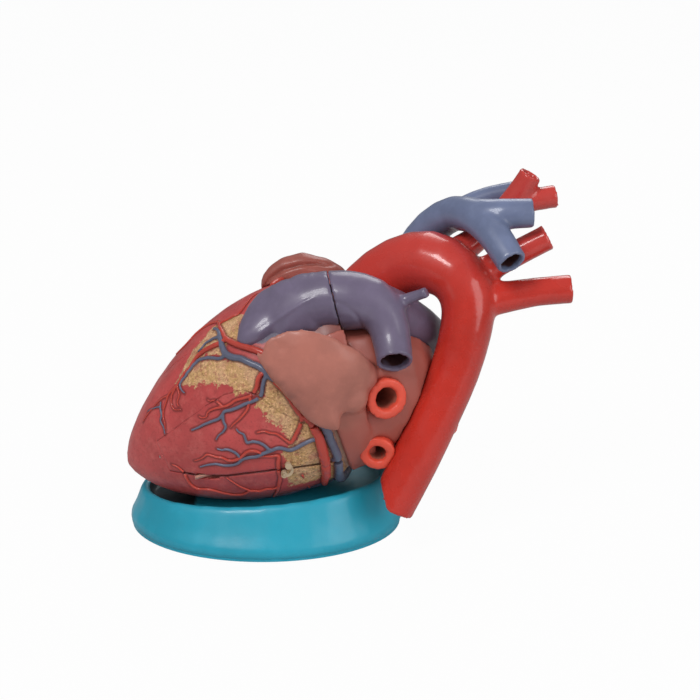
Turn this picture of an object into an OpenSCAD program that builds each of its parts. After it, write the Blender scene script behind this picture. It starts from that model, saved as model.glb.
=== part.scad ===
// Enlarged anatomical heart: opening ventricles, lift-off atria with great vessels, oval stand.
// Millimetres, +Z up. The origin is the centre of the underside of the stand.
// The heart points along +X: apex at -X, great vessels at +X, left side of the heart at -Y.

/* [Stand] */
// Width of the stand at its foot
stand_width = 210; // [206:1:216]
// Depth of the stand at its foot
stand_depth = 160; // [156:1:168]
// Width of the rounded lip round the rim
rim_width = 7; // [5:0.5:8]
// Depth of the hollow inside the lip
rim_hollow = 9; // [7:0.5:10]
// Thickness of the plate that closes the foot of the stand
plate_height = 3; // [2:0.5:4]
// Diameter of the steel pins that carry the heart
stand_pin_d = 8; // [6:0.5:10]
// Diameter of the screws that hold the plate
screw_d = 4; // [3:0.5:5]

/* [Heart walls] */
// Thickness of the left ventricle wall
left_wall = 11; // [9:0.5:12]
// Thickness of the right ventricle wall
right_wall = 6; // [5:0.5:8]
// Thickness of the plate that carries the valves
valve_plate = 8; // [7:0.5:9]
// Thickness of the atrium walls
atrium_wall = 5; // [4:0.5:6]
// Thickness of the septum between the atria
atrial_septum_t = 4; // [3:0.5:5]
// Thickness of the vessel walls
vessel_wall = 3; // [2.5:0.25:3.5]

/* [Valves] */
// Thickness of the valve leaflets
leaflet = 1.4; // [1.2:0.1:2]
// Radius of the mitral opening
mitral_r = 15; // [13:0.5:16]
// Radius of the tricuspid opening
tricuspid_r = 16; // [14:0.5:17]
// Thickness of the tendinous cords
chord_d = 1.6; // [1.4:0.1:2]

/* [Joining pieces] */
// Diameter of the magnets in the seams
magnet_d = 5; // [4:0.5:5.5]
// Thickness of each magnet
magnet_height = 3; // [2:0.5:4]
// Diameter of the pegs between the atria and the ventricles
peg_d = 6; // [5:0.5:7]
// Length of peg that stands out of the atria
peg_reach = 6.5; // [5:0.5:7]
// Thickness of the closure hook
hook_t = 2.4; // [2:0.2:3]
// Diameter of the hook pivot
hook_pivot_d = 2.4; // [2:0.1:2.6]

/* [Clearances] */
// Gap between pieces that come apart
seam_gap = 0.3; // [0.25:0.05:0.5]
// Extra width of the open seam along the left ventricle
open_seam = 0.7; // [0.5:0.1:1]
// Gap between pieces that are glued together
glue_gap = 0.1; // [0.08:0.01:0.15]
// Radial running gap of pins in their holes
pin_gap = 0.08; // [0.05:0.01:0.1]

/* [Hidden] */

// Frame of the heart: x from the apex to the base, y towards the front, z towards the left side
apex = [-106.5, -12, 58];
rise = 22.1;
yaw = 4.1;
heart_length = 185.5;
base_tilt = 8.8;

// The lists of points below are written for a heart 185.5 long: those of the ventricles stretch with
// its length, and those of the atria and great vessels move with its base
stretch = heart_length / 185.5;
base_move = (heart_length - heart_length / stretch) * [cos(rise) * cos(yaw), cos(rise) * sin(yaw), sin(rise)];

function along(p) = [for (q = p) [for (i = [0:len(q) - 1]) i == 0 ? q[i] * stretch : q[i]]];

function at_base(p) = [for (q = p) [for (i = [0:len(q) - 1]) i < 3 ? q[i] + base_move[i] : q[i]]];

muscle = [0.62, 0.2, 0.22];
salmon = [0.85, 0.48, 0.4];
red = [0.78, 0.1, 0.08];
plum = [0.42, 0.3, 0.38];
slate = [0.34, 0.42, 0.52];
cream = [0.93, 0.9, 0.8];
fibre = [0.9, 0.78, 0.66];
cyan = [0.24, 0.65, 0.77];
steel = [0.75, 0.76, 0.78];

// ---------------------------------------------------------------- helpers

function unit(v) = v / norm(v);

function xyz(p) = [p[0], p[1], p[2]];

function mean(r) = [for (i = [0:2]) [for (q = r) q[i]] * [for (q = r) 1] / len(r)];

function spline(a, b, c, d, t) =
    0.5 * (2 * b + (c - a) * t + (2 * a - 5 * b + 4 * c - d) * t * t
        + (3 * b - a - 3 * c + d) * t * t * t);

// Stations [x, y, z, radius across, radius along] joined by a smooth curve
function smooth(p, k) =
    let (n = len(p))
    concat([for (i = [0:n - 2]) for (j = [0:k - 1])
        spline(p[max(i - 1, 0)], p[i], p[i + 1], p[min(i + 2, n - 1)], j / k)], [p[n - 1]]);

// Tube stations given as [x, y, z, radius]
function round_stations(p) = [for (q = p) [q[0], q[1], q[2], q[3], q[3]]];

function carry(t, i, u) =
    let (v = unit(u - (u * t[i]) * t[i]))
    i == len(t) - 1 ? [v] : concat([v], carry(t, i + 1, v));

function sweep_rings(p, n, u, grow, reach) =
    let (
        m = len(p),
        t = [for (i = [0:m - 1]) unit(xyz(p[min(i + 1, m - 1)]) - xyz(p[max(i - 1, 0)]))],
        v = carry(t, 0, u))
    [for (i = [0:m - 1])
        let (
            b = cross(t[i], v[i]),
            s = i == 0 ? -reach : i == m - 1 ? reach : 0,
            c = xyz(p[i]) + s * t[i])
        [for (j = [0:n - 1])
            let (a = 360 * j / n)
            c + (p[i][3] + grow) * cos(a) * v[i] + (p[i][4] + grow) * sin(a) * b]];

// Closed solid over a stack of rings
module loft(rings) {
    n = len(rings[0]);
    m = len(rings);
    points = concat([for (r = rings) each r], [mean(rings[0]), mean(rings[m - 1])]);
    sides = [for (i = [0:m - 2]) for (j = [0:n - 1])
        let (a = i * n + j, b = i * n + (j + 1) % n)
        each [[a, a + n, b], [b, a + n, b + n]]];
    first = [for (j = [0:n - 1]) [m * n, j, (j + 1) % n]];
    last = [for (j = [0:n - 1]) [m * n + 1, (m - 1) * n + (j + 1) % n, (m - 1) * n + j]];
    polyhedron(concat(points), concat(sides, first, last), convexity = 10);
}

// Round or flattened limb along stations; grow widens it, reach lengthens both ends
module limb(p, n = 16, k = 2, u = [0, 0, 1], grow = 0, reach = 0) {
    loft(sweep_rings(smooth(p, k), n, u, grow, reach));
}

module pipe(p, n = 16, k = 2, u = [0, 1, 0.1], grow = 0, reach = 0) {
    limb(round_stations(p), n, k, u, grow, reach);
}

// Flat-sided hole whose flats stay outside radius r
module hole(h, r, n = 20) {
    cylinder(h = h, r = r / cos(180 / n), $fn = n);
}

// Rounded block, between a ball (p = 2) and a box
module lobe(size, p = 2.4, n = 24, m = 12, grow = 0) {
    s = size + [grow, grow, grow];
    loft([for (i = [0:m])
        let (x = 0.999 * sin(-90 + 180 * i / m), f = pow(1 - pow(abs(x), p), 1 / p))
        [for (j = [0:n - 1])
            let (
                a = 360 * j / n,
                q = f * pow(pow(abs(cos(a)), p) + pow(abs(sin(a)), p), -1 / p))
            [s[0] * x, s[1] * q * cos(a), s[2] * q * sin(a)]]]);
}

// One seamless triangle skin over overlapping organic shapes
module skin() {
    resize([0, 0, 0]) children();
}

module heart_frame() {
    translate(apex) rotate([90, -rise, yaw]) children();
}

// Everything on the atrial side of the plane where the heart comes apart
module above_cut(gap = 0) {
    heart_frame() translate([heart_length + gap, 0, 0]) rotate([0, 0, -base_tilt])
        translate([0, -300, -300]) cube([400, 600, 600]);
}

// ---------------------------------------------------------------- ventricles

function turn(a) = (a + 540) % 360 - 180;

function heart_r(s) =
    let (q = s / stretch)
    (q < 140 ? 75 * pow(sin(90 * q / 140), 0.63) : 75 - 8 * pow((q - 140) / 45.5, 2))
    - 3 * exp(-pow((q - 166) / 8, 2));

function heart_drop(s) = let (t = min(1, s / stretch / 150)) 7.5 * (1 - t * t * (3 - 2 * t));

// Point of the heart surface at distance s from the apex and angle f round the axis
function heart_point(s, f, out = 0) =
    let (
        q = pow(pow(abs(cos(f)), 2.2) + pow(abs(sin(f)) * 75 / 68, 2.2), -1 / 2.2),
        bulge = 1 + 0.04 * exp(-pow(turn(f + 50) / 40, 2)) * min(1, s / 60),
        r = max(0.4, heart_r(s) * q * bulge + out),
        y = r * cos(f) - heart_drop(s))
    [s + pow(s / heart_length, 3) * y * tan(base_tilt), y, r * sin(f)];

module heart_solid(out = 0, beyond = 0) {
    rows = 23;
    sides = 38;
    heart_frame() loft([for (i = [0:rows + (beyond > 0 ? 1 : 0)])
        let (s = i == 0 ? 0.4 : i > rows ? heart_length + beyond : heart_length * pow(i / rows, 1.35))
        [for (j = [0:sides - 1])
            heart_point(s, 360 * j / sides, out) - (i == 0 ? [out, 0, 0] : [0, 0, 0])]]);
}

// Chambers as stations [x, y, z, half height, half width]
left_stations = along([[26, -6, 8, 5, 5], [40, -5, 13, 19, 15], [70, -3, 16, 35, 27], [100, -2, 22, 42, 30.5],
    [130, -2, 25, 46, 31.6], [150, -3, 25, 46, 31], [165, -6, 24, 38, 29], [178, -11, 23, 31, 26], [192, -16, 23, 28, 24]]);
left_outflow = along([[128, 4, 16, 14], [150, 7, 9, 13.5], [170, 9, -3, 13.5], [192, 10, -9, 13.5]]);
right_stations = along([[38, -6, -19, 8, 6], [60, -2, -31, 28, 14], [90, 0, -38, 44, 18.5],
    [120, 2, -41, 52, 21.5], [145, -4, -42, 46, 19], [162, -12, -40, 36, 18],
    [178, -18, -37, 26, 15.5], [192, -22, -37, 23, 14.5]]);
front_stations = along([[50, 14, -14, 10, 8], [66, 22, -19, 17, 15], [90, 32, -21, 22, 20],
    [120, 38, -21, 23, 21], [140, 39, -16, 23, 18]]);
trunk_bore = along([[118, 34, -14, 14], [132, 44, 3, 14.5], [146, 56, 13, 15.5], [159, 62, 20, 17],
    [184.2, 64, 27, 18], [206, 58, 30, 18]]);

module left_chamber(grow = 0) {
    g = 11 - left_wall + grow;
    limb(left_stations, 16, 1, [0, 1, 0], g, g);
    pipe(left_outflow, 12, 1, [0, 1, 0], grow, 0);
}

module right_chamber(grow = 0) {
    g = 6 - right_wall + grow;
    limb(right_stations, 16, 1, [0, 1, 0], g, g);
    limb(front_stations, 12, 1, [0, 1, 0], g, g);
    pipe(trunk_bore, 12, 1, [0, 1, 0], grow, 0);
}

// Seams of the two walls that come out, seen along the way they come out
left_seam_low = along([[33, -12], [42, -15.3], [55.4, -21.1], [72, -25.6], [88, -28.2], [106, -32.2],
    [124, -37], [140, -42.4], [152, -46.5]]);
left_seam_high = along([[152, -12], [140, -3], [128.6, 11], [119, 27], [110, 33.5], [96, 34], [80, 30],
    [60, 23], [44, 16.5], [33, 12]]);
right_seam = along([[42, -32], [60, -41.8], [80, -50], [110, -56], [132, -56], [132, 20], [130.5, 38],
    [122, 50], [107, 51.8], [88, 51.5], [60.3, 45], [42, 36]]);

// Way out of the right wall: halfway between the front and the right side
right_turn = -135;
chamber_mid = 25;
right_mid = 34;

module left_way(gap = 0, low = 0) {
    translate([0, 0, chamber_mid - gap]) linear_extrude(100)
        union() {
            offset(delta = gap) polygon(concat(left_seam_low, left_seam_high));
            if (low > 0)
                offset(delta = gap) polygon(concat(left_seam_low, [for (i = [8:-1:0])
                    left_seam_low[i] - [0, low]]));
        }
}

module right_way(gap = 0) {
    rotate([right_turn, 0, 0]) translate([0, 0, right_mid - gap]) linear_extrude(100)
        offset(delta = gap) polygon([for (q = right_seam) [q[0], -q[1]]]);
}

septum_left = 3;
septum_right = -20;

// Slab between the chambers, slid in from the base before the valve plate closes it
module septum_slab(grow = 0) {
    loft([for (i = [0:6])
        let (s = i == 6 ? heart_length - valve_plate + 4 : (30 + 24 * i) * stretch - grow)
        let (h = min(50, heart_r(s) - 14) + grow, c = -heart_drop(s))
        [[s, c - h, septum_right - grow], [s, c + h, septum_right - grow],
            [s, c + h, septum_left + grow], [s, c - h, septum_left + grow]]]);
}

module valve_seat(grow = 0) {
    loft([for (s = [heart_length - valve_plate - grow, heart_length + (grow > 0 ? 6 : 0)])
        [for (j = [0:29]) heart_point(min(s, heart_length), 12 * j, -7 + grow)
            + [max(0, s - heart_length), 0, 0]]]);
}

mitral_at = [-20, 24];
tricuspid_at = [-18, -37];
aortic_at = [9.3, -7];
aortic_r = 14;
peg_at = [[-46, 22], [-46, -26], [12, 41]];

// Distance along the axis at which the coming-apart plane lies at height y
function cut_at(y) = heart_length + y * tan(base_tilt);

// Square to the valve plate, z towards the atria
module at_plate(p, back = 0) {
    translate([heart_length, 0, 0]) rotate([0, 0, -base_tilt])
        translate([-back, p[0], p[1]]) rotate([0, 90, 0]) children();
}

module at_cut(p, back = 0) {
    translate([cut_at(p[0]) - back, p[0], p[1]]) rotate([0, 90, 0]) children();
}

module peg_holes() {
    for (p = peg_at)
        at_cut(p, peg_reach + 0.6) hole(peg_reach + 20, peg_d / 2 + pin_gap);
}

// Magnets [x, y, z, side] in the end faces of the two openings; the right ones in turned axes
left_magnets = along([[33, 0, 31, 1], [152, -20, 60, -1], [152, -35, 54, -1]]);
right_magnets = along([[42, -2, 37, 1], [42, 12, 36.8, 1], [132, 40, 50, -1]]);

// Turned so that z runs from the seam into the piece that holds the magnet
module at_magnet(q, inside) {
    dir = inside ? q[3] : -q[3];
    translate([q[0] + (inside ? 0 : dir * seam_gap), q[1], q[2]]) rotate([0, dir * 90, 0]) children();
}

module magnet(q, inside) {
    at_magnet(q, inside) cylinder(h = magnet_height, r = magnet_d / 2);
}

tongue_at = [58 * stretch, -22, 45.5];
tongue_size = [18, 5, 3];

module tongue(gap = 0) {
    translate(tongue_at) rotate([22, 0, -13])
        cube(tongue_size + [2 * gap, 2 * gap, 2 * gap], center = true);
}

module tongue_way(gap) {
    hull() {
        tongue(gap);
        translate([0, 0, 60]) tongue(gap);
    }
}

hook_pivot = [118.6 * stretch, -31.4];
hook_reach = 8;
hook_angle = 226;
hook_level = 64;
catch_r = 1;

function hook_catch() = hook_pivot + hook_reach * [cos(hook_angle), sin(hook_angle)];

stand_pin_at = [[-48, -4], [8, -2]];
stand_pin_top = 36;

module stand_pin_holes() {
    for (p = stand_pin_at)
        translate([p[0], p[1], 0]) hole(stand_pin_top + 1, stand_pin_d / 2 + pin_gap);
}

module magnet_rooms(magnets, inside) {
    for (q = magnets)
        at_magnet(q, inside) translate([0, 0, -1]) hole(magnet_height + 1.1, magnet_d / 2 + glue_gap, 14);
}

module ventricle_shell() {
    color(muscle) skin() difference() {
        heart_solid();
        heart_frame() {
            left_chamber();
            right_chamber();
            septum_slab(glue_gap);
            valve_seat(glue_gap);
            left_way(seam_gap, open_seam);
            right_way(seam_gap);
            tongue_way(seam_gap);
            magnet_rooms(left_magnets, false);
            rotate([right_turn, 0, 0]) magnet_rooms(right_magnets, false);
            translate([hook_catch()[0], hook_catch()[1], 50])
                hole(30, catch_r + glue_gap, 14);
        }
        stand_pin_holes();
    }
}

module ventricular_septum() {
    color(muscle) skin() heart_frame() difference() {
        septum_slab();
        left_chamber();
        right_chamber();
        valve_seat(glue_gap);
    }
}

module valve_plate_ring() {
    color(fibre) skin() heart_frame() difference() {
        valve_seat();
        at_plate(mitral_at, 20) hole(40, mitral_r);
        at_plate(tricuspid_at, 20) hole(40, tricuspid_r);
        at_plate(aortic_at, 20) hole(40, aortic_r);
        pipe(trunk_bore, 12, 1, [0, 1, 0], 2);
        peg_holes();
    }
}

// Funnel of leaflets hanging from a ring, slit between the leaflets
module leaflets(r, depth, count, first) {
    difference() {
        rotate_extrude($fn = 20) polygon([[r - 0.1, 0], [r - 0.1, -3], [r - 4, -depth * 0.55],
            [r * 0.55, -depth], [r * 0.55 - leaflet, -depth], [r - 4 - leaflet, -depth * 0.5],
            [r - 2, -2], [r - 2, 0]]);
        for (i = [0:count - 1])
            rotate(first + 360 * i / count) translate([0, -0.8, -depth - 1])
                cube([r * 0.9, 1.6, depth - 3]);
    }
}

module mitral_valve() {
    color(fibre) skin() heart_frame() at_plate(mitral_at, seam_gap) leaflets(mitral_r, 22, 2, 30);
}

module tricuspid_valve() {
    color(fibre) skin() heart_frame() at_plate(tricuspid_at, seam_gap) leaflets(tricuspid_r, 22, 3, 10);
}

// Three pockets in a ring
module aortic_valve() {
    color(fibre) skin() heart_frame() at_plate(aortic_at, 5.5) difference() {
        cylinder(h = 5, r = aortic_r - 0.1, $fn = 20);
        for (i = [0:2])
            rotate(120 * i) translate([6.6, 0, 6]) scale([1, 1, 0.8]) sphere(r = 6, $fn = 10);
        for (i = [0:2])
            rotate(60 + 120 * i) translate([0, -0.6, -1]) cube([aortic_r - 4, 1.2, 8]);
    }
}

left_muscles = [for (p = [[[58, -27, 10, 8, 8], [80, -25, 15, 8, 8], [108, -21, 21, 5.5, 5.5], [113, -20, 22, 3, 3]],
    [[60, 26, 10, 8, 8], [84, 22, 14, 8, 8], [108, 13, 20, 5.5, 5.5], [113, 11, 21, 3, 3]]]) along(p)];
right_muscles = [for (p = [[[66, -30, -34, 7, 7], [86, -25, -38, 6, 6], [106, -22, -38, 4, 4], [110, -22, -38, 2, 2]],
    [[70, 8, -19, 7, 7], [86, 4, -30, 6, 6], [106, -2, -34, 4, 4], [110, -3, -34, 2, 2]],
    [[92, -14, -20, 5, 5], [104, -16, -26, 4, 4], [112, -18, -29, 2, 2]]]) along(p)];

module left_papillary_muscles() {
    color(muscle) skin() heart_frame() for (p = left_muscles)
        intersection() {
            limb(p, 10, 1, [0, 1, 0]);
            left_chamber(-glue_gap);
        }
}

module right_papillary_muscles() {
    color(muscle) skin() heart_frame() for (p = right_muscles)
        intersection() {
            limb(p, 10, 1, [0, 1, 0]);
            right_chamber(-glue_gap);
        }
}

// Cords from the tip of each papillary muscle to the rim of the leaflets
module chords(tips, centre, r, gap) {
    for (p = tips) {
        tip = xyz(p[len(p) - 1]);
        for (i = [-1:1]) {
            way = atan2(tip[2] - centre[1], tip[1] - centre[0]) + 32 * i;
            end = [cut_at(centre[0]) - 22.5 - gap, centre[0] + r * cos(way), centre[1] + r * sin(way)];
            d = unit(end - tip);
            pipe([[tip[0] + gap * d[0], tip[1] + gap * d[1] + 1.2 * i, tip[2] + gap * d[2], chord_d / 2],
                [end[0], end[1], end[2], chord_d / 2]], 5, 1, [0, 1, 0.2]);
        }
    }
}

module left_chords() {
    color(cream) skin() heart_frame() chords(left_muscles, mitral_at, mitral_r * 0.55 - leaflet / 2, 0.6);
}

module right_chords() {
    color(cream) skin() heart_frame()
        chords(right_muscles, tricuspid_at, tricuspid_r * 0.55 - leaflet / 2, 0.6);
}

// ---------------------------------------------------------------- vessels on the ventricles

trunk = along([[114, 32, -4, 14], [128, 43, 10, 20], [142, 53, 18, 22.5], [156, 59.5, 23, 23],
    [171, 62.5, 26, 22.6], [184.2, 63, 27.5, 22], [194, 61, 28.8, 22], [204.7, 56.8, 31, 22]]);

module pulmonary_trunk_root() {
    color(plum) skin() difference() {
        heart_frame() pipe(trunk, 18, 2, [0, 1, 0]);
        heart_frame() pipe(trunk_bore, 12, 1, [0, 1, 0]);
        heart_solid(glue_gap);
        above_cut();
    }
}

function on_heart(p, sink) = [for (q = p)
    let (v = heart_point(q[0], q[1], -sink)) [v[0], v[1], v[2], q[2]]];

front_artery = along([[115, 33, 2.4], [104, 30, 2.9], [98, 24, 2.8], [84, 28, 2.6], [72, 36, 2.4],
    [57, 46, 2.1], [43, 49, 1.8], [30, 50, 1.4]]);
groove_artery = along([[160, 96, 1.9], [160.8, 106, 2.1], [161, 118, 2.1], [161, 130, 2], [160.5, 146, 1.9],
    [159.5, 162, 1.5]]);
front_vein = along([[113, 42, 2.6], [104, 37, 3], [90, 33, 2.9], [76, 41, 2.6], [62, 50, 2.2], [48, 54, 1.6]]);
groove_vein = along([[169, 100, 3.8], [169.5, 112, 4.3], [169.5, 126, 4.4], [169.5, 142, 4.3], [169.5, 160, 4],
    [169.5, 180, 3.4]]);

module on_surface(paths, sink, n) {
    difference() {
        heart_frame() for (p = paths)
            pipe(on_heart(p, sink), n, 2, [0.3, 0.2, 1]);
        heart_solid(glue_gap);
    }
}

module coronary_arteries() {
    color(red) skin() on_surface([front_artery, groove_artery], 0.3, 8);
}

module cardiac_veins() {
    color(slate) skin() on_surface([front_vein, groove_vein], 0.5, 8);
}

module ventricle_magnets() {
    color(steel) heart_frame() {
        for (q = left_magnets)
            magnet(q, false);
        rotate([right_turn, 0, 0]) for (q = right_magnets)
            magnet(q, false);
    }
}

module hook_catch_pin() {
    color(steel) heart_frame() translate([hook_catch()[0], hook_catch()[1], 0]) {
        translate([0, 0, 52]) cylinder(h = hook_level + hook_t - 52, r = catch_r);
        translate([0, 0, 61]) cylinder(h = hook_level - seam_gap - 61, r = catch_r + 1.2);
    }
}

// ---------------------------------------------------------------- walls that come out

module left_ventricle_wall() {
    color(muscle) skin() difference() {
        intersection() {
            heart_solid();
            heart_frame() left_way();
        }
        heart_frame() {
            left_chamber();
            tongue(glue_gap);
            magnet_rooms(left_magnets, true);
            translate([hook_pivot[0], hook_pivot[1], 50])
                hole(30, hook_pivot_d / 2 + glue_gap, 14);
        }
    }
}

module left_wall_magnets() {
    color(steel) heart_frame() for (q = left_magnets)
        magnet(q, true);
}

module left_wall_tongue() {
    color(cream) heart_frame() tongue();
}

module hook_pivot_pin() {
    color(steel) heart_frame() translate([hook_pivot[0], hook_pivot[1], 0]) {
        translate([0, 0, 53]) cylinder(h = hook_level + hook_t + 0.4 - 53, r = hook_pivot_d / 2);
        translate([0, 0, hook_level + hook_t + 0.4]) cylinder(h = 1, r = hook_pivot_d / 2 + 1.2);
    }
}

module half_ring(r1, r2) {
    difference() {
        circle(r = r2);
        circle(r = r1);
        translate([-30, -60]) square([60, 60]);
    }
}

module closure_hook() {
    color(cream) heart_frame() translate([hook_pivot[0], hook_pivot[1], hook_level])
        rotate(hook_angle) linear_extrude(hook_t) difference() {
            union() {
                circle(r = hook_pivot_d / 2 + 1.1);
                translate([hook_reach / 2, 0]) half_ring(hook_reach / 2 - 0.8, hook_reach / 2 + 1.2);
                translate([hook_reach, 0]) circle(r = catch_r + 1.3);
            }
            circle(r = hook_pivot_d / 2 + pin_gap);
            translate([hook_reach, 0]) circle(r = catch_r + 0.2);
            mirror([0, 1]) half_ring(hook_reach - catch_r - 0.3, hook_reach + catch_r + 0.3);
        }
}

module right_ventricle_wall() {
    color(muscle) skin() difference() {
        intersection() {
            heart_solid();
            heart_frame() right_way();
        }
        heart_frame() {
            right_chamber();
            septum_slab(seam_gap);
            rotate([right_turn, 0, 0]) magnet_rooms(right_magnets, true);
        }
    }
}

module right_wall_magnets() {
    color(steel) heart_frame() rotate([right_turn, 0, 0]) for (q = right_magnets)
        magnet(q, true);
}

// ---------------------------------------------------------------- great vessels

aorta_path = at_base([[57, 3, 126, 21.2], [60, 9, 137, 22.6], [66, 14, 157, 23.3], [79.5, 20, 178.8, 24],
    [101.9, 17, 197.1, 23.9], [123.8, 6, 205.2, 23.7], [142.6, -6, 199, 22.1], [151.3, -14, 182.2, 20.6],
    [149.8, -22, 161.7, 19.5], [141.8, -31, 133.6, 18.7], [129.3, -40, 105.5, 18.4],
    [112.5, -50, 69.8, 18], [94.9, -57, 34.2, 17]]);
aorta_branches = [for (p = [
    [[138, -8, 178, 14.8], [156.7, -10, 180.9, 15.2], [175.2, -10, 182.5, 12.6], [200.8, -10, 187.1, 11.1],
        [227.5, -8, 188.8, 11.1]],
    [[134, 0, 186, 10.8], [153.4, 0, 193.2, 11.9], [175.4, 2, 206.5, 10.4], [210.6, 6, 224.6, 10]],
    [[122, 8, 196, 12.8], [138, 15, 205.8, 12.8], [158.2, 28, 215.6, 10.5], [177.4, 40, 232, 9.4],
        [190, 42, 246.6, 9.6], [200, 42, 262.9, 9]],
    [[176, 40, 230, 7.8], [189, 42, 239.5, 8.8], [219.7, 46, 244.7, 9.1]]]) at_base(p)];
pulmonary_path = at_base([[42.8, -28.5, 186.2, 22], [52.6, -30, 187.3, 22], [64.2, -31, 187.6, 22],
    [80.5, -33, 185, 20], [91, -40, 175.5, 15.9], [95, -50, 161.5, 14.2], [96.7, -62.5, 151.2, 13.2]]);
pulmonary_right = at_base([[72, -30, 186, 17], [86, -26, 181.5, 17.5], [105.1, -14, 167, 17.5],
    [120.8, 6, 147.8, 17.2], [128, 30, 128.7, 15.3], [127, 60, 116, 14.1], [121, 80, 109.5, 13.5]]);
pulmonary_stub = at_base([[84, -28, 180, 6], [97.3, -30, 185, 5.6], [120.1, -38, 196.4, 4.3]]);
caval_path = at_base([[89, 58, 122, 16], [92.5, 60, 136, 17.1], [99.2, 59, 167.2, 15.4], [111.8, 54, 197, 14.5],
    [126.5, 44, 220.8, 14.4], [142.9, 28, 236.5, 13.4], [158.8, 8, 240, 13.3], [177.9, 0, 243.9, 11.7],
    [198.4, 0, 244.7, 11]]);
caval_branches = [for (p = [
    [[150, 14, 238, 10], [160, 2, 237, 12], [170, -14, 231.3, 12.4], [181.2, -34, 217.1, 11.5]],
    [[120, 46, 208, 9], [133, 50, 219, 10.6], [149.6, 60, 231, 9], [171, 63, 239.6, 8.4],
        [195.2, 63, 244.5, 8.4]]]) at_base(p)];
lower_caval = at_base([[90, 40, 92, 15], [91, 46.6, 77.2, 15.3], [92, 52.4, 63, 15.6], [92, 55, 50, 16]]);
left_veins = [for (p = [[[76, -26, 116, 12], [84, -44, 120, 13.6], [90, -57, 122, 14.2], [91.5, -61, 122.4, 15]],
    [[84, -14, 84, 10.5], [85, -36, 80, 11.5], [84.8, -52, 77.4, 12], [84.6, -56, 77, 12.8]]]) at_base(p)];
right_veins = [for (p = [[[112, 8, 96, 10], [130, 30, 92, 10.5], [147, 50, 89, 11.5]],
    [[108, 2, 72, 10], [124, 26, 67, 10.5], [141, 46, 61, 11.5]]]) at_base(p)];

module aorta_solid(grow = 0) {
    pipe(aorta_path, 16, 2, [0, 1, 0.1], grow, grow);
    for (p = aorta_branches)
        pipe(p, 10, 2, [0, 1, 0.1], grow, grow);
}

module aorta() {
    color(red) skin() difference() {
        aorta_solid();
        pipe(aorta_path, 12, 1, [0, 1, 0.1], -vessel_wall, 2);
        for (p = aorta_branches)
            pipe(p, 8, 1, [0, 1, 0.1], -vessel_wall, 2);
        heart_solid(seam_gap);
        lower_side(seam_gap);
    }
}

// Everything on the ventricle side of the plane where the heart comes apart
module lower_side(gap) {
    heart_frame() translate([heart_length + gap, 0, 0]) rotate([0, 0, -base_tilt])
        translate([-60, -95, -75]) cube([60, 190, 150]);
}

module pulmonary_solid(grow = 0) {
    pipe(pulmonary_path, 18, 2, [0, 1, 0.1], grow, grow);
    pipe(pulmonary_right, 14, 2, [0, 1, 0.1], grow, grow);
    pipe(pulmonary_stub, 8, 1, [0, 1, 0.1], grow, grow);
}

module pulmonary_arteries() {
    color(plum) skin() difference() {
        pulmonary_solid();
        pipe(pulmonary_path, 12, 1, [0, 1, 0.1], -vessel_wall, 2);
        pipe(pulmonary_right, 8, 1, [0, 1, 0.1], -vessel_wall, 2);
        aorta_solid(glue_gap);
        lower_side(seam_gap);
    }
}

module caval_solid(grow = 0) {
    pipe(caval_path, 14, 2, [0, 1, 0.1], grow, grow);
    for (p = caval_branches)
        pipe(p, 10, 2, [0, 1, 0.1], grow, grow);
}

module superior_vena_cava() {
    color(slate) skin() difference() {
        caval_solid();
        pipe(caval_path, 8, 1, [0, 1, 0.1], -vessel_wall, 2);
        for (p = caval_branches)
            pipe(p, 8, 1, [0, 1, 0.1], -vessel_wall, 2);
        aorta_solid(glue_gap);
        pulmonary_solid(glue_gap);
    }
}

module inferior_vena_cava() {
    color(slate) skin() difference() {
        pipe(lower_caval, 14, 1);
        pipe(lower_caval, 12, 1, [0, 1, 0.1], -vessel_wall, 2);
        heart_solid(1);
        lower_side(seam_gap);
    }
}

module left_pulmonary_veins() {
    color(red) skin() difference() {
        for (p = left_veins)
            pipe(p, 14, 1);
        for (p = left_veins)
            pipe(p, 10, 1, [0, 1, 0.1], -5, 2);
        aorta_solid(glue_gap);
        peg_sockets();
        heart_solid(1, seam_gap);
        heart_frame() pipe(on_heart(groove_vein, 0.5), 8, 2, [0.3, 0.2, 1], 0.8, 1);
    }
}

module right_pulmonary_veins() {
    color(red) skin() difference() {
        for (p = right_veins)
            pipe(p, 14, 1);
        for (p = right_veins)
            pipe(p, 10, 1, [0, 1, 0.1], -vessel_wall, 2);
        pipe(lower_caval, 14, 1, [0, 1, 0.1], glue_gap, 1);
        peg_sockets();
    }
}

// ---------------------------------------------------------------- atria

module atrial_frame() {
    heart_frame() translate([heart_length, 0, 0]) rotate([0, 0, -base_tilt]) children();
}

module dome(grow = 0, n = 26, m = 12) {
    translate([0, -14, 0]) lobe([63, 57, 59], 2.8, n, m, grow);
    translate([28, -8, -38]) lobe([32, 40, 32], 2.4, 14, 8, grow);
}

septum_at = -5;

module half_space(z0, z1) {
    translate([-100, -150, z0]) cube([260, 300, z1 - z0]);
}

// Vessels set into the atria, which are cut out of the atrium walls
module atrium_guests(grow) {
    aorta_solid(grow);
    pulmonary_solid(grow);
    caval_solid(grow);
    pipe(lower_caval, 14, 1, [0, 1, 0.1], grow, grow);
    for (p = left_veins)
        pipe(p, 14, 1, [0, 1, 0.1], grow, grow);
    for (p = right_veins)
        pipe(p, 14, 1, [0, 1, 0.1], grow, grow);
}

module orifice(p, r) {
    heart_frame() at_plate(p, 20) hole(60, r);
}

module floor_room() {
    translate([6, -150, -150]) cube([200, 300, 300]);
}

module peg_sockets() {
    heart_frame() for (p = peg_at)
        at_cut(p, 10) hole(15.2, peg_d / 2 + glue_gap);
}

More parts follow.
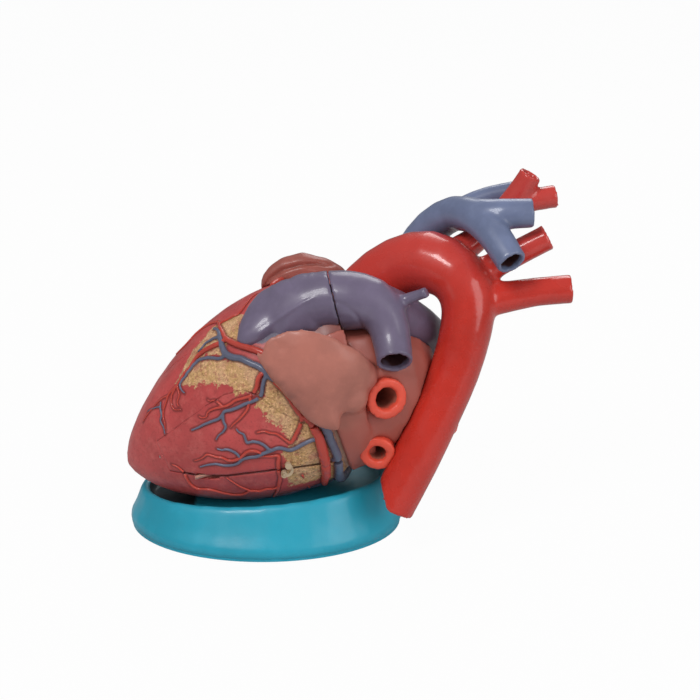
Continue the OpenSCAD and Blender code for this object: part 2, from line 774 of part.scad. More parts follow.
module left_atrium() {
    color(salmon) skin() difference() {
        atrial_frame() difference() {
            intersection() {
                dome();
                half_space(septum_at, 100);
                translate([seam_gap, -150, -150]) cube([200, 300, 300]);
            }
            intersection() {
                dome(-atrium_wall, 16, 8);
                half_space(septum_at - 2, 100);
                floor_room();
            }
        }
        atrium_guests(glue_gap);
        orifice(mitral_at, mitral_r - 1);
        peg_sockets();
    }
}

module right_atrium() {
    color(salmon) skin() difference() {
        atrial_frame() difference() {
            intersection() {
                dome();
                half_space(-120, septum_at - atrial_septum_t);
                translate([seam_gap, -150, -150]) cube([200, 300, 300]);
            }
            intersection() {
                dome(-atrium_wall, 16, 8);
                half_space(-120, septum_at - atrial_septum_t + 2);
                floor_room();
            }
        }
        atrium_guests(glue_gap);
        orifice(tricuspid_at, tricuspid_r - 1);
        peg_sockets();
    }
}

module atrial_septum() {
    color(salmon) skin() difference() {
        atrial_frame() difference() {
            intersection() {
                dome();
                half_space(septum_at - atrial_septum_t + glue_gap, septum_at - glue_gap);
                translate([seam_gap, -150, -150]) cube([200, 300, 300]);
            }
            translate([30, -22, septum_at]) scale([1, 1.2, 0.16]) sphere(r = 10, $fn = 24);
        }
        atrium_guests(glue_gap);
    }
}

left_ear = at_base([[-3, -74, 158.5, 4, 3], [0, -75, 158, 12, 6], [8, -77, 156, 20, 8], [28, -78, 149, 32, 9],
    [48, -76, 141, 33, 10], [64, -67, 132, 28, 11], [74, -48, 125, 20, 12], [78, -34, 120, 14, 10]]);
right_ear = at_base([[-2, 35, 173, 4, 3], [1, 35.5, 174, 9, 6], [8, 36, 177, 16, 9], [27, 39, 181, 21.5, 14],
    [48, 44, 172, 20, 17], [64, 50, 156, 17, 17], [76, 50, 140, 13, 14]]);

module left_ear_solid(grow = 0) {
    limb(left_ear, 16, 2, [0.354, 0, 0.935], grow, grow);
}

module left_auricle() {
    color(salmon) skin() difference() {
        left_ear_solid();
        atrial_frame() dome(glue_gap);
        atrium_guests(glue_gap);
        heart_solid(1.4);
        lower_side(seam_gap);
        heart_frame() pipe(trunk, 18, 2, [0, 1, 0], 1);
    }
}

module right_auricle() {
    color(salmon) skin() difference() {
        limb(right_ear, 14, 2, [0, 0, 1]);
        atrial_frame() dome(glue_gap);
        atrium_guests(glue_gap);
        heart_solid(1.4, seam_gap);
        heart_frame() pipe(trunk, 18, 2, [0, 1, 0], 1);
    }
}

module atrial_pegs() {
    color(cream) heart_frame() for (p = peg_at)
        at_cut(p, peg_reach) {
            cylinder(h = peg_reach + 5, r = peg_d / 2);
        }
}

// ---------------------------------------------------------------- stand

rim_left = 30;
rim_right = 44;

function oval(a, b, z, slope = 0, n = 36) = [for (j = [0:n - 1])
    let (t = 360 * j / n) [a * cos(t), b * sin(t), z + slope * a * cos(t)]];

rim_slope = (rim_right - rim_left) / 186;
rim_mid = (rim_right + rim_left) / 2;
rim_a = stand_width / 2 - 9;
rim_b = stand_depth / 2 - 18;
screw_at = [[82, 0], [-82, 0], [0, 62], [0, -62]];

module stand_bowl() {
    a = stand_width / 2;
    b = stand_depth / 2;
    color(cyan) skin() difference() {
        loft([
            oval(a - 1.5, b - 1.5, plate_height + 0.1),
            oval(a - 0.3, b - 0.3, plate_height + 1.6),
            oval(a, b, plate_height + 4),
            oval(a - 4.5, b - 8, 18, 0.35 * rim_slope),
            oval(rim_a + 0.6, rim_b + 1.5, rim_mid - 4, rim_slope),
            oval(rim_a, rim_b, rim_mid - 1.6, rim_slope),
            oval(rim_a - 1.4, rim_b - 1.4, rim_mid - 0.3, rim_slope),
            oval(rim_a - 3, rim_b - 3, rim_mid, rim_slope)]);
        loft([
            oval(rim_a - rim_width - 4, rim_b - rim_width - 4, rim_mid - rim_hollow, rim_slope),
            oval(rim_a - rim_width - 1, rim_b - rim_width - 1, rim_mid - rim_hollow + 1.5, rim_slope),
            oval(rim_a - rim_width, rim_b - rim_width, rim_mid - 2.5, rim_slope),
            oval(rim_a - rim_width + 1.6, rim_b - rim_width + 1.6, rim_mid - 0.6, rim_slope),
            oval(rim_a - rim_width + 3.5, rim_b - rim_width + 3.5, rim_mid + 0.3, rim_slope)]);
        heart_solid(seam_gap);
        stand_pin_holes();
        for (p = screw_at)
            translate([p[0], p[1], 0]) hole(14.8, screw_d / 2 + glue_gap);
    }
}

module foot_outline(inset) {
    polygon([for (q = oval(stand_width / 2 - inset, stand_depth / 2 - inset, 0, 0, 90)) [q[0], q[1]]]);
}

module stand_base_plate() {
    color(cyan) difference() {
        linear_extrude(plate_height) foot_outline(2);
        for (p = screw_at)
            translate([p[0], p[1], 0]) {
                translate([0, 0, -1]) cylinder(h = plate_height + 2, r = screw_d / 2 + glue_gap);
                translate([0, 0, -0.01]) cylinder(h = 1.81, r = screw_d + 0.2);
            }
    }
}

module stand_screws() {
    color(steel) for (p = screw_at)
        translate([p[0], p[1], 0.3]) {
            cylinder(h = 1.4, r = screw_d);
            cylinder(h = 14, r = screw_d / 2);
        }
}

module stand_pins() {
    color(steel) for (p = stand_pin_at)
        translate([p[0], p[1], plate_height + 0.2])
            cylinder(h = stand_pin_top - plate_height - 0.2, r = stand_pin_d / 2);
}

stand_bowl();
stand_base_plate();
stand_screws();
stand_pins();
ventricle_shell();
ventricular_septum();
valve_plate_ring();
mitral_valve();
tricuspid_valve();
aortic_valve();
left_papillary_muscles();
right_papillary_muscles();
left_chords();
right_chords();
pulmonary_trunk_root();
coronary_arteries();
cardiac_veins();
ventricle_magnets();
hook_catch_pin();
left_ventricle_wall();
left_wall_magnets();
left_wall_tongue();
hook_pivot_pin();
closure_hook();
right_ventricle_wall();
right_wall_magnets();
left_atrium();
right_atrium();
atrial_septum();
left_auricle();
right_auricle();
aorta();
pulmonary_arteries();
superior_vena_cava();
inferior_vena_cava();
left_pulmonary_veins();
right_pulmonary_veins();
atrial_pegs();
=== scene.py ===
import math

import bmesh
import bpy
import numpy as np
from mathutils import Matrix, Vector, noise
from mathutils.bvhtree import BVHTree
from mathutils.kdtree import KDTree


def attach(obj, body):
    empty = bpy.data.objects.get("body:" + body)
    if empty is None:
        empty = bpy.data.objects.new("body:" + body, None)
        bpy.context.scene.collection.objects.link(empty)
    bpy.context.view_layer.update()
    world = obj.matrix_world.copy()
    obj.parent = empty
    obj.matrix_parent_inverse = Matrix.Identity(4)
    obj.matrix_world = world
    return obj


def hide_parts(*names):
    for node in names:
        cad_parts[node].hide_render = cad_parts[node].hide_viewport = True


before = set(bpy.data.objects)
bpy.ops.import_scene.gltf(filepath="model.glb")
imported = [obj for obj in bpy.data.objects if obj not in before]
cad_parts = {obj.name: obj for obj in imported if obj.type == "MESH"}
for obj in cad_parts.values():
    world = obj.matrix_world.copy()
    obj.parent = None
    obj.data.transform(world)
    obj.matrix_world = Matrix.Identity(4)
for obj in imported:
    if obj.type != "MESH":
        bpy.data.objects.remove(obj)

bl_info = {
    "name": "Take-apart heart",
    "version": (1, 0, 0),
    "blender": (4, 5, 0),
    "location": "3D View > Sidebar > Heart",
    "description": "Sculpted and painted surfaces of an enlarged take-apart heart on its stand",
    "category": "Add Mesh",
}

MM = 0.001

# Frame of the heart in millimetres: apex, way to the base, way to the front, way to the left side
APEX = np.array([-106.5, -12.0, 58.0])
RISE, YAW, TILT = (math.radians(v) for v in (22.1, 4.1, 8.8))
LENGTH = 185.5
BASE_WAY = np.array([math.cos(RISE) * math.cos(YAW), math.cos(RISE) * math.sin(YAW), math.sin(RISE)])
FRONT_WAY = np.array([-math.sin(RISE) * math.cos(YAW), -math.sin(RISE) * math.sin(YAW), math.cos(RISE)])
LEFT_WAY = np.cross(BASE_WAY, FRONT_WAY)

# Viewpoint of the photograph, in mm, its focal length in pixels, the camera's sensor in mm and the width of
# the picture in pixels
AIM, AWAY, LOOK_DOWN, FOCAL = np.array([64.5, 0.0, 138.0]), 1500.0, math.radians(20), 2000.0
SENSOR, PICTURE = 36.0, 700
SIGHT = np.array([0.0, math.cos(LOOK_DOWN), -math.sin(LOOK_DOWN)])
UPWARD = np.array([0.0, math.sin(LOOK_DOWN), math.cos(LOOK_DOWN)])
EYE = AIM - AWAY * SIGHT

# Coronary vessels as (distance from the apex in mm, angle round the axis in degrees, radius in mm).
# Angle 0 is the front, 90 the left side, 180 the underside.
ARTERIES = {
    "main": [(139, 50, 2.6), (133.5, 47, 2.6), (127.5, 42, 2.7), (121.5, 37.5, 2.6), (114.5, 31.5, 2.4),
             (109.5, 25, 2.2), (108, 18.5, 1.7), (106.5, 10, 1.4), (105.5, 3, 1.2), (99, -4, 1.1),
             (88, -9, 1.0), (76, -8, 0.9), (66, -12, 0.8)],
    "seam": [(106.5, 7, 1.1), (113.5, 8.5, 1.1), (121.5, 9.5, 1.0), (126.5, 5, 0.9), (132.5, -3, 0.8),
             (136.5, -6, 0.7)],
    "groove": [(109.5, 25.5, 1.8), (102.5, 25, 2.3), (96.5, 23.5, 2.1), (91, 22.5, 2.0), (86, 22.5, 1.9),
               (81, 24, 1.7), (77, 26, 1.5), (72.5, 26.5, 1.4), (68, 28, 1.2), (65, 29.5, 1.1),
               (60.5, 30, 1.0), (55.5, 30.5, 1.0), (51.5, 34, 0.9), (47.5, 38, 0.9), (45, 43.5, 0.8),
               (44.5, 50.5, 0.7), (43, 54.5, 0.6)],
    "groove_a": [(62, 30.5, 1.0), (57.5, 33.5, 0.9), (55, 38.5, 0.8), (55.5, 45, 0.7), (60.5, 49, 0.6)],
    "groove_b": [(54, 31, 0.9), (46.5, 27, 0.8), (38, 26, 0.7), (32, 25.5, 0.7), (27, 27, 0.6)],
    "groove_c": [(63.5, 31, 0.9), (63, 38, 0.8), (59.5, 42, 0.7), (60, 46, 0.6)],
    "beside": [(128.5, 56, 1.8), (125.5, 56, 2.1), (122.5, 58, 2.0), (120, 61, 1.9), (117.5, 63, 1.7),
               (113.5, 64.5, 1.4), (108, 64, 1.3), (102, 63, 1.2), (97, 63.5, 1.3), (92, 63, 1.2),
               (90, 60, 1.0), (87.5, 56.5, 0.9), (84, 55.5, 0.8), (82.5, 53.5, 0.6)],
    "upper": [(91.5, 63, 1.1), (86, 61.5, 1.0), (82, 61, 1.0), (79, 61.5, 0.9), (77, 63.5, 0.8),
              (73.5, 62.5, 0.7), (72, 60.5, 0.6)],
    "middle": [(113, 66, 1.2), (110, 68.5, 1.1), (107, 71.5, 1.1), (102.5, 73.5, 1.0), (98.5, 75, 0.9),
               (94.5, 76, 0.8), (91, 77.5, 0.7)],
    "margin": [(140, 79, 1.3), (142, 85.5, 1.5), (141.5, 91, 1.6), (137.5, 95.5, 1.6), (132.5, 99.5, 1.5),
               (128, 102.5, 1.5), (125, 99, 1.1), (123, 96, 1.0), (120.5, 93, 1.0), (116.5, 91, 0.9),
               (113, 88.5, 0.9), (107.5, 87.5, 0.8)],
    "auricle": [(132, 63, 1.2), (136.5, 71, 1.2), (138.5, 77.5, 1.3), (141, 86.5, 1.4), (145, 92, 1.6),
                (148.5, 97.5, 2.0)],
    "low": [(105, 103, 1.0), (102.5, 100, 1.6), (98.5, 98, 1.5), (94.5, 98, 1.4), (89.5, 100, 1.3),
            (84.5, 101, 1.3), (79.5, 100, 1.2), (76, 96.5, 1.1), (71.5, 94, 1.1), (68.5, 91.5, 1.0),
            (65.5, 90, 0.9), (62.5, 91.5, 0.8), (58.5, 92.5, 0.7), (54.5, 92.5, 0.6)],
    "crossing": [(100, 103.5, 0.9), (105, 104.5, 1.1), (110.5, 106.5, 1.3), (115.5, 108, 1.6),
                 (113, 113.5, 1.7), (111, 119.5, 1.7), (109.5, 125.5, 1.6), (106, 132, 1.5),
                 (102.5, 139, 1.3), (96, 151.5, 1.1)],
    "under": [(36.5, 91, 0.7), (40, 95, 0.9), (42.5, 102.5, 1.2), (42.5, 110.5, 1.3), (43, 119, 1.3),
              (46, 125.5, 1.3), (52.5, 126, 1.2), (58, 128, 1.2), (64, 133, 1.2), (70.5, 136.5, 1.2),
              (77.5, 136, 1.2), (83.5, 132.5, 1.2), (89.5, 135, 1.2), (95.5, 134, 1.2), (100.5, 135.5, 1.1),
              (104.5, 134.5, 1.0)],
    "under_a": [(71.5, 114, 0.7), (74.5, 119.5, 0.8), (78, 125.5, 0.9), (81.5, 130, 1.0),
                (83.5, 132.5, 1.0)],
    "circumflex": [(144, 89, 2.2), (146.5, 93.5, 2.8), (148, 99, 3.3), (149, 105.5, 3.7),
                   (148.5, 112.5, 4.0), (148, 120.5, 3.8), (146, 128.5, 3.7), (143.5, 137, 3.5),
                   (140, 146, 3.0), (138, 158, 2.2), (136, 170, 1.8), (126, 178, 1.4)],
    "right_groove": [(148, -8, 2.2), (154, -20, 2.6), (157, -34, 2.6), (159, -50, 2.5), (161, -68, 2.4),
                     (162, -88, 2.3), (162, -108, 2.2), (161, -128, 2.1), (160, -148, 2.0),
                     (156, -162, 1.9), (146, -168, 1.7), (132, -166, 1.6), (116, -168, 1.4),
                     (100, -165, 1.3), (84, -168, 1.1), (68, -164, 0.9), (54, -168, 0.7)],
    "right_edge": [(161, -68, 1.6), (150, -74, 1.6), (138, -80, 1.5), (124, -78, 1.4), (110, -84, 1.3),
                   (95, -82, 1.2), (80, -88, 1.0), (66, -86, 0.9), (52, -92, 0.7)],
    "right_front": [(157, -34, 1.5), (146, -38, 1.4), (134, -36, 1.3), (120, -42, 1.2), (106, -38, 1.0),
                    (92, -44, 0.9), (78, -40, 0.7)],
    "right_front_a": [(120, -42, 1.1), (110, -52, 1.0), (98, -56, 0.9), (86, -64, 0.7)],
    "right_back": [(162, -108, 1.5), (150, -116, 1.4), (136, -112, 1.3), (120, -118, 1.1), (104, -114, 1.0),
                   (90, -120, 0.8)],
    "back_left": [(132, -166, 1.2), (124, 186, 1.1), (112, 180, 1.0), (100, 184, 0.9), (88, 178, 0.7)],
}
VEINS = {
    "main": [(102, 8, 1.2), (104.5, 12, 1.4), (105.5, 16.5, 1.8), (105.5, 23, 2.3), (105.5, 29, 2.5),
             (106.5, 34.5, 2.8), (110.5, 39, 2.7), (116, 42.5, 2.6), (120.5, 47, 2.5), (125.5, 51, 2.5),
             (128, 54.5, 2.5), (130, 58.5, 2.4), (132.5, 61, 2.3), (139, 67, 2.3)],
    "seam": [(105, 21, 1.5), (102, 18.5, 1.3), (98, 17.5, 1.3), (93.5, 17, 1.2), (89.5, 18.5, 1.0),
             (86.5, 18.5, 0.9)],
    "groove": [(106.5, 35.5, 1.7), (100.5, 34.5, 1.5), (94.5, 30.5, 1.4), (89.5, 27.5, 1.4), (85, 26, 1.5),
               (80.5, 26.5, 1.4), (76.5, 27.5, 1.3), (72.5, 29, 1.2), (69, 29.5, 1.1), (66, 31.5, 1.1),
               (66, 36, 1.0), (67.5, 40, 0.7)],
    "second": [(129, 58.5, 1.9), (126.5, 59.5, 1.7), (123.5, 63, 1.7), (121, 66.5, 1.6), (117, 68, 1.6),
               (113, 68, 1.4), (107.5, 67.5, 1.4), (102, 67.5, 1.4), (96.5, 67, 1.4), (91.5, 66, 1.4),
               (88.5, 67.5, 1.3), (85, 68.5, 1.2), (79.5, 68, 1.2), (73, 67.5, 1.1), (68, 67.5, 1.0),
               (62.5, 67, 0.8)],
    "second_a": [(89.5, 67.5, 1.2), (88, 71.5, 1.1), (88, 75.5, 1.1), (84.5, 78, 1.0), (80.5, 79, 0.8),
                 (77, 81.5, 0.6)],
    "low": [(156, 109.5, 2.2), (152, 108.5, 1.9), (146, 106.5, 1.7), (140, 106, 1.6), (133.5, 106.5, 1.6),
            (126.5, 107, 1.6), (122.5, 105, 1.5), (118, 102.5, 1.5), (112, 102.5, 1.5), (106.5, 102.5, 1.5),
            (100.5, 103, 1.5), (95, 102, 1.4), (89.5, 102, 1.4), (84.5, 104, 1.3), (79.5, 104, 1.2),
            (74, 102.5, 1.1), (69.5, 100, 1.1), (64, 99, 1.0), (60, 99, 0.9), (56.5, 99.5, 0.7)],
    "low_a": [(111, 101.5, 1.4), (109.5, 98, 1.3), (106.5, 94.5, 1.2), (102, 92, 1.2), (98, 91.5, 1.2),
              (98, 88, 1.1), (98, 85, 1.0), (95.5, 82.5, 0.9), (94.5, 79.5, 0.7)],
    "low_b": [(88.5, 101, 1.3), (87.5, 97, 1.2), (85.5, 94, 1.1), (82, 91, 1.1), (78, 90, 1.0),
              (75, 88, 0.8)],
    "apex": [(47, 29.5, 0.8), (45, 34.5, 1.0), (44.5, 41, 1.0), (42, 45, 0.9), (42.5, 51.5, 0.8),
             (41.5, 58.5, 0.6)],
    "apex_a": [(45, 33, 0.9), (41, 29, 0.8), (36.5, 25, 0.7), (33, 22, 0.6)],
    "sinus": [(151, 92, 3.0), (154, 97.5, 3.2), (155.5, 102.5, 3.3), (156, 109.5, 3.3), (156.5, 118, 3.3),
              (156.5, 127, 3.4), (154.5, 137, 3.4), (152, 146, 3.6), (152, 156, 4.0), (154, 166, 4.4),
              (158, 177, 4.6), (162, 186, 4.6), (165, 194, 4.0)],
    "middle": [(163, 186, 2.4), (150, 184, 2.2), (136, 187, 2.0), (121, 184, 1.8), (106, 188, 1.6),
               (92, 185, 1.4), (78, 188, 1.2), (64, 184, 1.0), (50, 187, 0.8)],
    "back_left": [(158, 160, 2.0), (146, 163, 1.8), (133, 160, 1.6), (119, 164, 1.4), (104, 160, 1.2),
                  (90, 163, 1.0), (76, 159, 0.8)],
    "right_small": [(166, -60, 1.6), (167, -80, 1.7), (167, -100, 1.8), (167, -120, 1.9), (166, -140, 2.0),
                    (166, -158, 2.4), (165, -170, 3.0)],
    "right_front": [(166, -60, 1.4), (154, -58, 1.3), (142, -60, 1.2), (128, -56, 1.1), (114, -62, 1.0),
                    (100, -66, 0.8), (90, -64, 0.7)],
    "right_edge": [(167, -95, 1.3), (154, -96, 1.3), (140, -98, 1.2), (126, -94, 1.1), (110, -98, 1.0),
                   (96, -96, 0.9), (82, -100, 0.7)],
}

# Patches of fat as outlines of (distance from the apex in mm, angle round the axis in degrees)
FAT = {
    "by_trunk": [(107, 5.5), (115, 8), (121, 10), (125, 14.5), (131, 20), (138, 26), (134, 36), (119.5, 36),
                 (114, 29.5), (109.5, 25), (108, 18.5)],
    "groove": [(105.5, 3), (108, 18.5), (109.5, 25.5), (106, 31), (97, 30), (90.5, 26), (84.5, 25.5),
               (76.5, 28), (68.5, 30), (63, 28), (72.5, 19.5), (81, 14), (92.5, 9), (100, 4.5)],
    "band": [(80, 24), (88.5, 27), (97, 32), (105.5, 37), (113, 42), (119, 46), (126, 52), (128.5, 57),
             (122, 60), (119.5, 63), (116.5, 63.5), (113, 63), (109.5, 60.5), (105, 61), (102.5, 60.5),
             (101, 56.5), (99, 54), (95.5, 51.5), (92.5, 49.5), (90.5, 45), (87, 45), (82.5, 41.5),
             (76, 39), (67.5, 33), (74.5, 28)],
    "beside": [(128, 57), (134, 57), (142, 64), (146, 74), (147, 84), (144, 90), (140.5, 94), (136, 97),
               (132, 100), (127, 101), (126, 97), (125, 93), (124.5, 89.5), (121.5, 85.5), (117.5, 84),
               (117.5, 81), (118, 78), (116, 75), (114.5, 72), (118, 69), (122.5, 67.5), (124, 64)],
    "lower": [(140, 86), (147, 92), (150, 98), (150, 104.5), (148, 112), (146.5, 121), (144, 128),
              (138.5, 143.5), (133, 141.5), (125, 139.5), (118, 139.5), (111.5, 138), (115.5, 133),
              (114, 127.5), (115.5, 121), (117, 116), (119, 112.5), (119.5, 109), (123.5, 106.5),
              (128.5, 104), (134.5, 100), (139.5, 94)],
    "base_left": [(146, 88), (156, 88), (172, 100), (176, 130), (178, 160), (178, 200), (168, 204),
                  (150, 198), (140, 178), (138, 160), (140, 140), (147, 122), (150, 104)],
    "under": [(150, 176), (140, 180), (118, 181), (96, 183), (78, 184), (64, 183), (58, 189), (72, 197),
              (92, 199), (114, 198), (136, 197), (152, 202)],
    "right_groove": [(148, -24), (155, -20), (160, -24), (170, -50), (176, -90), (177, -130), (176, -165),
                     (154, -172), (148, -150), (150, -124), (146, -100), (150, -78), (143, -58), (148, -38)],
}

# Upper seam of the wall that opens, seen from the left: (distance, height) in mm, as it is built
UPPER_SEAM = [(152, -12), (140, -3), (128.6, 11), (119, 27), (110, 33.5), (96, 34), (80, 30), (60, 23),
              (44, 16.5), (33, 12), (33, -12), (42, -15.3)]

# Lower seam of that wall, which stays open a little: (distance, height) in mm, as it is built
LOWER_SEAM = [(42, -15.8), (55.4, -21.6), (72, -26.1), (88, -28.7), (106, -32.7), (124, -37.5),
              (140, -42.9), (152, -47)]

# Outline of the pulmonary trunk in the picture, and the middle about which it is stretched
TRUNK_MIDDLE = (298, 306)
TRUNK_LINE = [(322, 270.5), (308, 272.5), (290, 278.5), (275, 284), (261, 290), (251, 301), (244, 314),
              (239, 327), (236, 341), (243, 349), (256, 351), (269, 347), (287, 337), (305, 331),
              (322, 329)]

# Outline of the painted foot of the trunk on the wall, and the raised line along the trunk, in the picture
TRUNK_FOOT = [(239, 326), (239, 338), (246, 342), (255, 343.5), (263, 344), (272, 340), (285, 334),
              (300, 329), (322, 327), (322, 300), (262, 300), (244, 316)]
TRUNK_RIDGE = [(254, 337), (265, 329), (277, 320), (290, 311), (303, 303), (316, 297)]

# Moulded line of the left pulmonary artery and the fold under the right auricle's lip, in the picture
PULMONARY_FOLD = [(330, 300), (345, 305), (357, 316), (365, 332), (371, 350)]
RIGHT_LIP_FOLD = [(262, 290), (269, 279), (282, 270), (298, 265), (318, 263), (336, 266)]

# Outline of the left auricle in the picture, and the middle about which it is stretched
AURICLE_MIDDLE = (312, 380)
AURICLE_LINE = [(359, 351), (345, 343), (328, 334.5), (308, 329), (284, 330.5), (267, 338), (256, 354),
                (266, 372), (279, 388), (290, 401), (299, 411.5), (309, 422), (320, 428.5), (331, 431.5),
                (342, 431.5), (352, 428)]

# Folds across the rim of the left auricle, in the picture
AURICLE_FOLDS = [[(270, 340), (285, 350)], [(259, 357), (280, 363)], [(266, 372), (284, 372)],
                 [(277, 387), (293, 382)], [(291, 401), (304, 391)], [(308, 415), (318, 401)],
                 [(286, 331), (297, 343)]]

# Half the length and half the width of the stand's hollow, and how far its foot comes down past the plate
STAND_HOLLOW = (89.5, 55.5)
STAND_FOOT_DROP = 2.7

# Painted marks on the walls: distances from the apex of the cream strip's two edges and of the brown band's
# lower edge in mm, and the angles round the axis between which the strip and the band lie
STRIP_SPAN, STRIP_ANGLES = (160.2, 167), (84, 165)
BAND_START, BAND_ANGLES = 134, (6, 72)

# How near the lips of the upper seam lie to its middle line, and how far they are brought towards it, in mm
LIP_REACH = 0.62
LIP_CLOSING = 0.27

# Vessels in the groove at the base, which stand half out of the wall, and the pieces that hang over them
BASE_VESSELS = ("circumflex", "sinus", "right_groove", "right_small")
OVERHANGING = ("left_atrium", "right_atrium", "left_auricle", "right_auricle", "left_pulmonary_veins",
               "right_pulmonary_veins", "inferior_vena_cava", "aorta", "pulmonary_trunk_root")

STAND_BODY, HEART_BODY, LEFT_BODY, RIGHT_BODY = "stand", "ventricles", "left_wall", "right_wall"
UPPER_BODY = "upper_heart"


# ---------------------------------------------------------------- shape of the heart surface


def wall_radius(s):
    """Radius of the ventricles at distance s from the apex."""
    near = 75 * np.sin(np.radians(90 * np.clip(s, 0.01, 140) / 140)) ** 0.63
    far = 75 - 8 * ((s - 140) / 45.5) ** 2
    return np.where(s < 140, near, far) - 3 * np.exp(-(((s - 166) / 8) ** 2))


def wall_drop(s):
    """How far the axis of the ventricles sags at distance s from the apex."""
    t = np.minimum(1, np.maximum(s, 0) / 150)
    return 7.5 * (1 - t * t * (3 - 2 * t))


def wall_reach(s, angle):
    """Radius of the heart surface at a distance from the apex and an angle round the axis."""
    c, z = np.abs(np.cos(np.radians(angle))), np.abs(np.sin(np.radians(angle))) * 75 / 68
    turned = (angle + 50 + 540) % 360 - 180
    bulge = 1 + 0.04 * np.exp(-((turned / 40) ** 2)) * np.minimum(1, np.maximum(s, 0) / 60)
    return wall_radius(s) * (c**2.2 + z**2.2) ** (-1 / 2.2) * bulge


def heart_point(s, angle, out=0.0):
    """Point in mm on the heart surface, raised by out."""
    s, angle = np.asarray(s, float), np.asarray(angle, float)
    r = np.maximum(0.4, wall_reach(s, angle) + out)
    y = r * np.cos(np.radians(angle)) - wall_drop(s)
    x = s + (s / LENGTH) ** 3 * y * math.tan(TILT)
    z = r * np.sin(np.radians(angle))
    place = APEX + np.multiply.outer(x, BASE_WAY)
    return place + np.multiply.outer(y, FRONT_WAY) + np.multiply.outer(z, LEFT_WAY)


def heart_place(points):
    """Distance from the apex, angle round the axis, radius there and depth below the surface, in mm."""
    d = points - APEX
    x, y, z = d @ BASE_WAY, d @ FRONT_WAY, d @ LEFT_WAY
    s = x.copy()
    for _ in range(6):
        s = x - (np.clip(s, 0, 220) / LENGTH) ** 3 * y * math.tan(TILT)
    up = y + wall_drop(s)
    angle, r = np.degrees(np.arctan2(z, up)), np.hypot(z, up)
    return s, angle, r, wall_reach(np.clip(s, 0.5, LENGTH), angle) - r


def outline_distance(u, v, corners):
    """Distance to a closed outline in a plane, positive inside."""
    a = np.array(corners, float)
    b = np.roll(a, -1, axis=0)
    best, inside = np.full(len(u), 1e9), np.zeros(len(u), bool)
    for (x0, y0), (x1, y1) in zip(a, b):
        dx, dy = x1 - x0, y1 - y0
        t = np.clip(((u - x0) * dx + (v - y0) * dy) / (dx * dx + dy * dy), 0, 1)
        best = np.minimum(best, np.hypot(u - x0 - t * dx, v - y0 - t * dy))
        if dy:
            inside ^= ((y0 > v) != (y1 > v)) & (u < dx * (v - y0) / dy + x0)
    return np.where(inside, best, -best)


def fat_field(s, angle):
    """Distance in mm from the edge of the nearest patch of fat, positive in it."""
    field = np.full(len(s), -12.0)
    for outline in FAT.values():
        middle = sum(f for _, f in outline) / len(outline)
        turned = (angle - middle + 540) % 360 - 180 + middle
        field = np.maximum(field, outline_distance(s, turned * 1.08, [(p, f * 1.08) for p, f in outline]))
    return np.clip(field, -12, 12)


def in_picture(points):
    """Pixel column, pixel row and distance from the eye of points in mm."""
    d = points - EYE
    z = d @ SIGHT
    return PICTURE / 2 + FOCAL * d[:, 0] / z, PICTURE / 2 - FOCAL * (d @ UPWARD) / z, z


def moved_in_picture(points, right, down):
    """Points shifted by pixels at their own distance."""
    z = (points - EYE) @ SIGHT
    return points + np.outer(right * z / FOCAL, [1, 0, 0]) - np.outer(down * z / FOCAL, UPWARD)


def line_distance(u, v, line):
    """Distance to an open line in a plane, and the place of the nearest point along it from 0 to 1."""
    a = np.array(line, float)
    best, place = np.full(len(u), 1e9), np.zeros(len(u))
    for i in range(len(a) - 1):
        d = a[i + 1] - a[i]
        t = np.clip(((u - a[i, 0]) * d[0] + (v - a[i, 1]) * d[1]) / (d @ d), 0, 1)
        far = np.hypot(u - a[i, 0] - t * d[0], v - a[i, 1] - t * d[1])
        place = np.where(far < best, (i + t) / (len(a) - 1), place)
        best = np.minimum(best, far)
    return best, place


# ---------------------------------------------------------------- mesh tools


def added(name, shape):
    """A new object from a bmesh, which is freed."""
    mesh = bpy.data.meshes.new(name)
    shape.to_mesh(mesh)
    shape.free()
    obj = bpy.data.objects.new(name, mesh)
    bpy.context.scene.collection.objects.link(obj)
    return obj


def settle(obj):
    """Applies an object's modifiers to its mesh."""
    bpy.context.view_layer.update()
    graph = bpy.context.evaluated_depsgraph_get()
    mesh = bpy.data.meshes.new_from_object(obj.evaluated_get(graph))
    obj.modifiers.clear()
    old, obj.data = obj.data, mesh
    bpy.data.meshes.remove(old)
    mesh.name = obj.name
    return obj


def points_of(mesh):
    """Vertex places in mm."""
    co = np.empty(len(mesh.vertices) * 3, np.float32)
    mesh.vertices.foreach_get("co", co)
    return co.reshape(-1, 3).astype(float) / MM


def move_points(mesh, points):
    mesh.vertices.foreach_set("co", (points * MM).astype(np.float32).ravel())
    mesh.update()


def normals_of(mesh):
    n = np.empty(len(mesh.vertices) * 3, np.float32)
    mesh.vertex_normals.foreach_get("vector", n)
    return n.reshape(-1, 3).astype(float)


def edges_of(mesh):
    e = np.empty(len(mesh.edges) * 2, np.int32)
    mesh.edges.foreach_get("vertices", e)
    return e.reshape(-1, 2)


def averaged(values, edges, rounds):
    """Values on vertices, averaged with their neighbours a number of times."""
    count = np.bincount(edges.ravel(), minlength=len(values)).astype(float) + 1
    for _ in range(rounds):
        total = values + np.bincount(edges[:, 0], values[edges[:, 1]], len(values))
        total += np.bincount(edges[:, 1], values[edges[:, 0]], len(values))
        values = total / count
    return values


def store(mesh, name, values):
    attribute = mesh.attributes.get(name) or mesh.attributes.new(name, "FLOAT", "POINT")
    attribute.data.foreach_set("value", values.astype(np.float32))


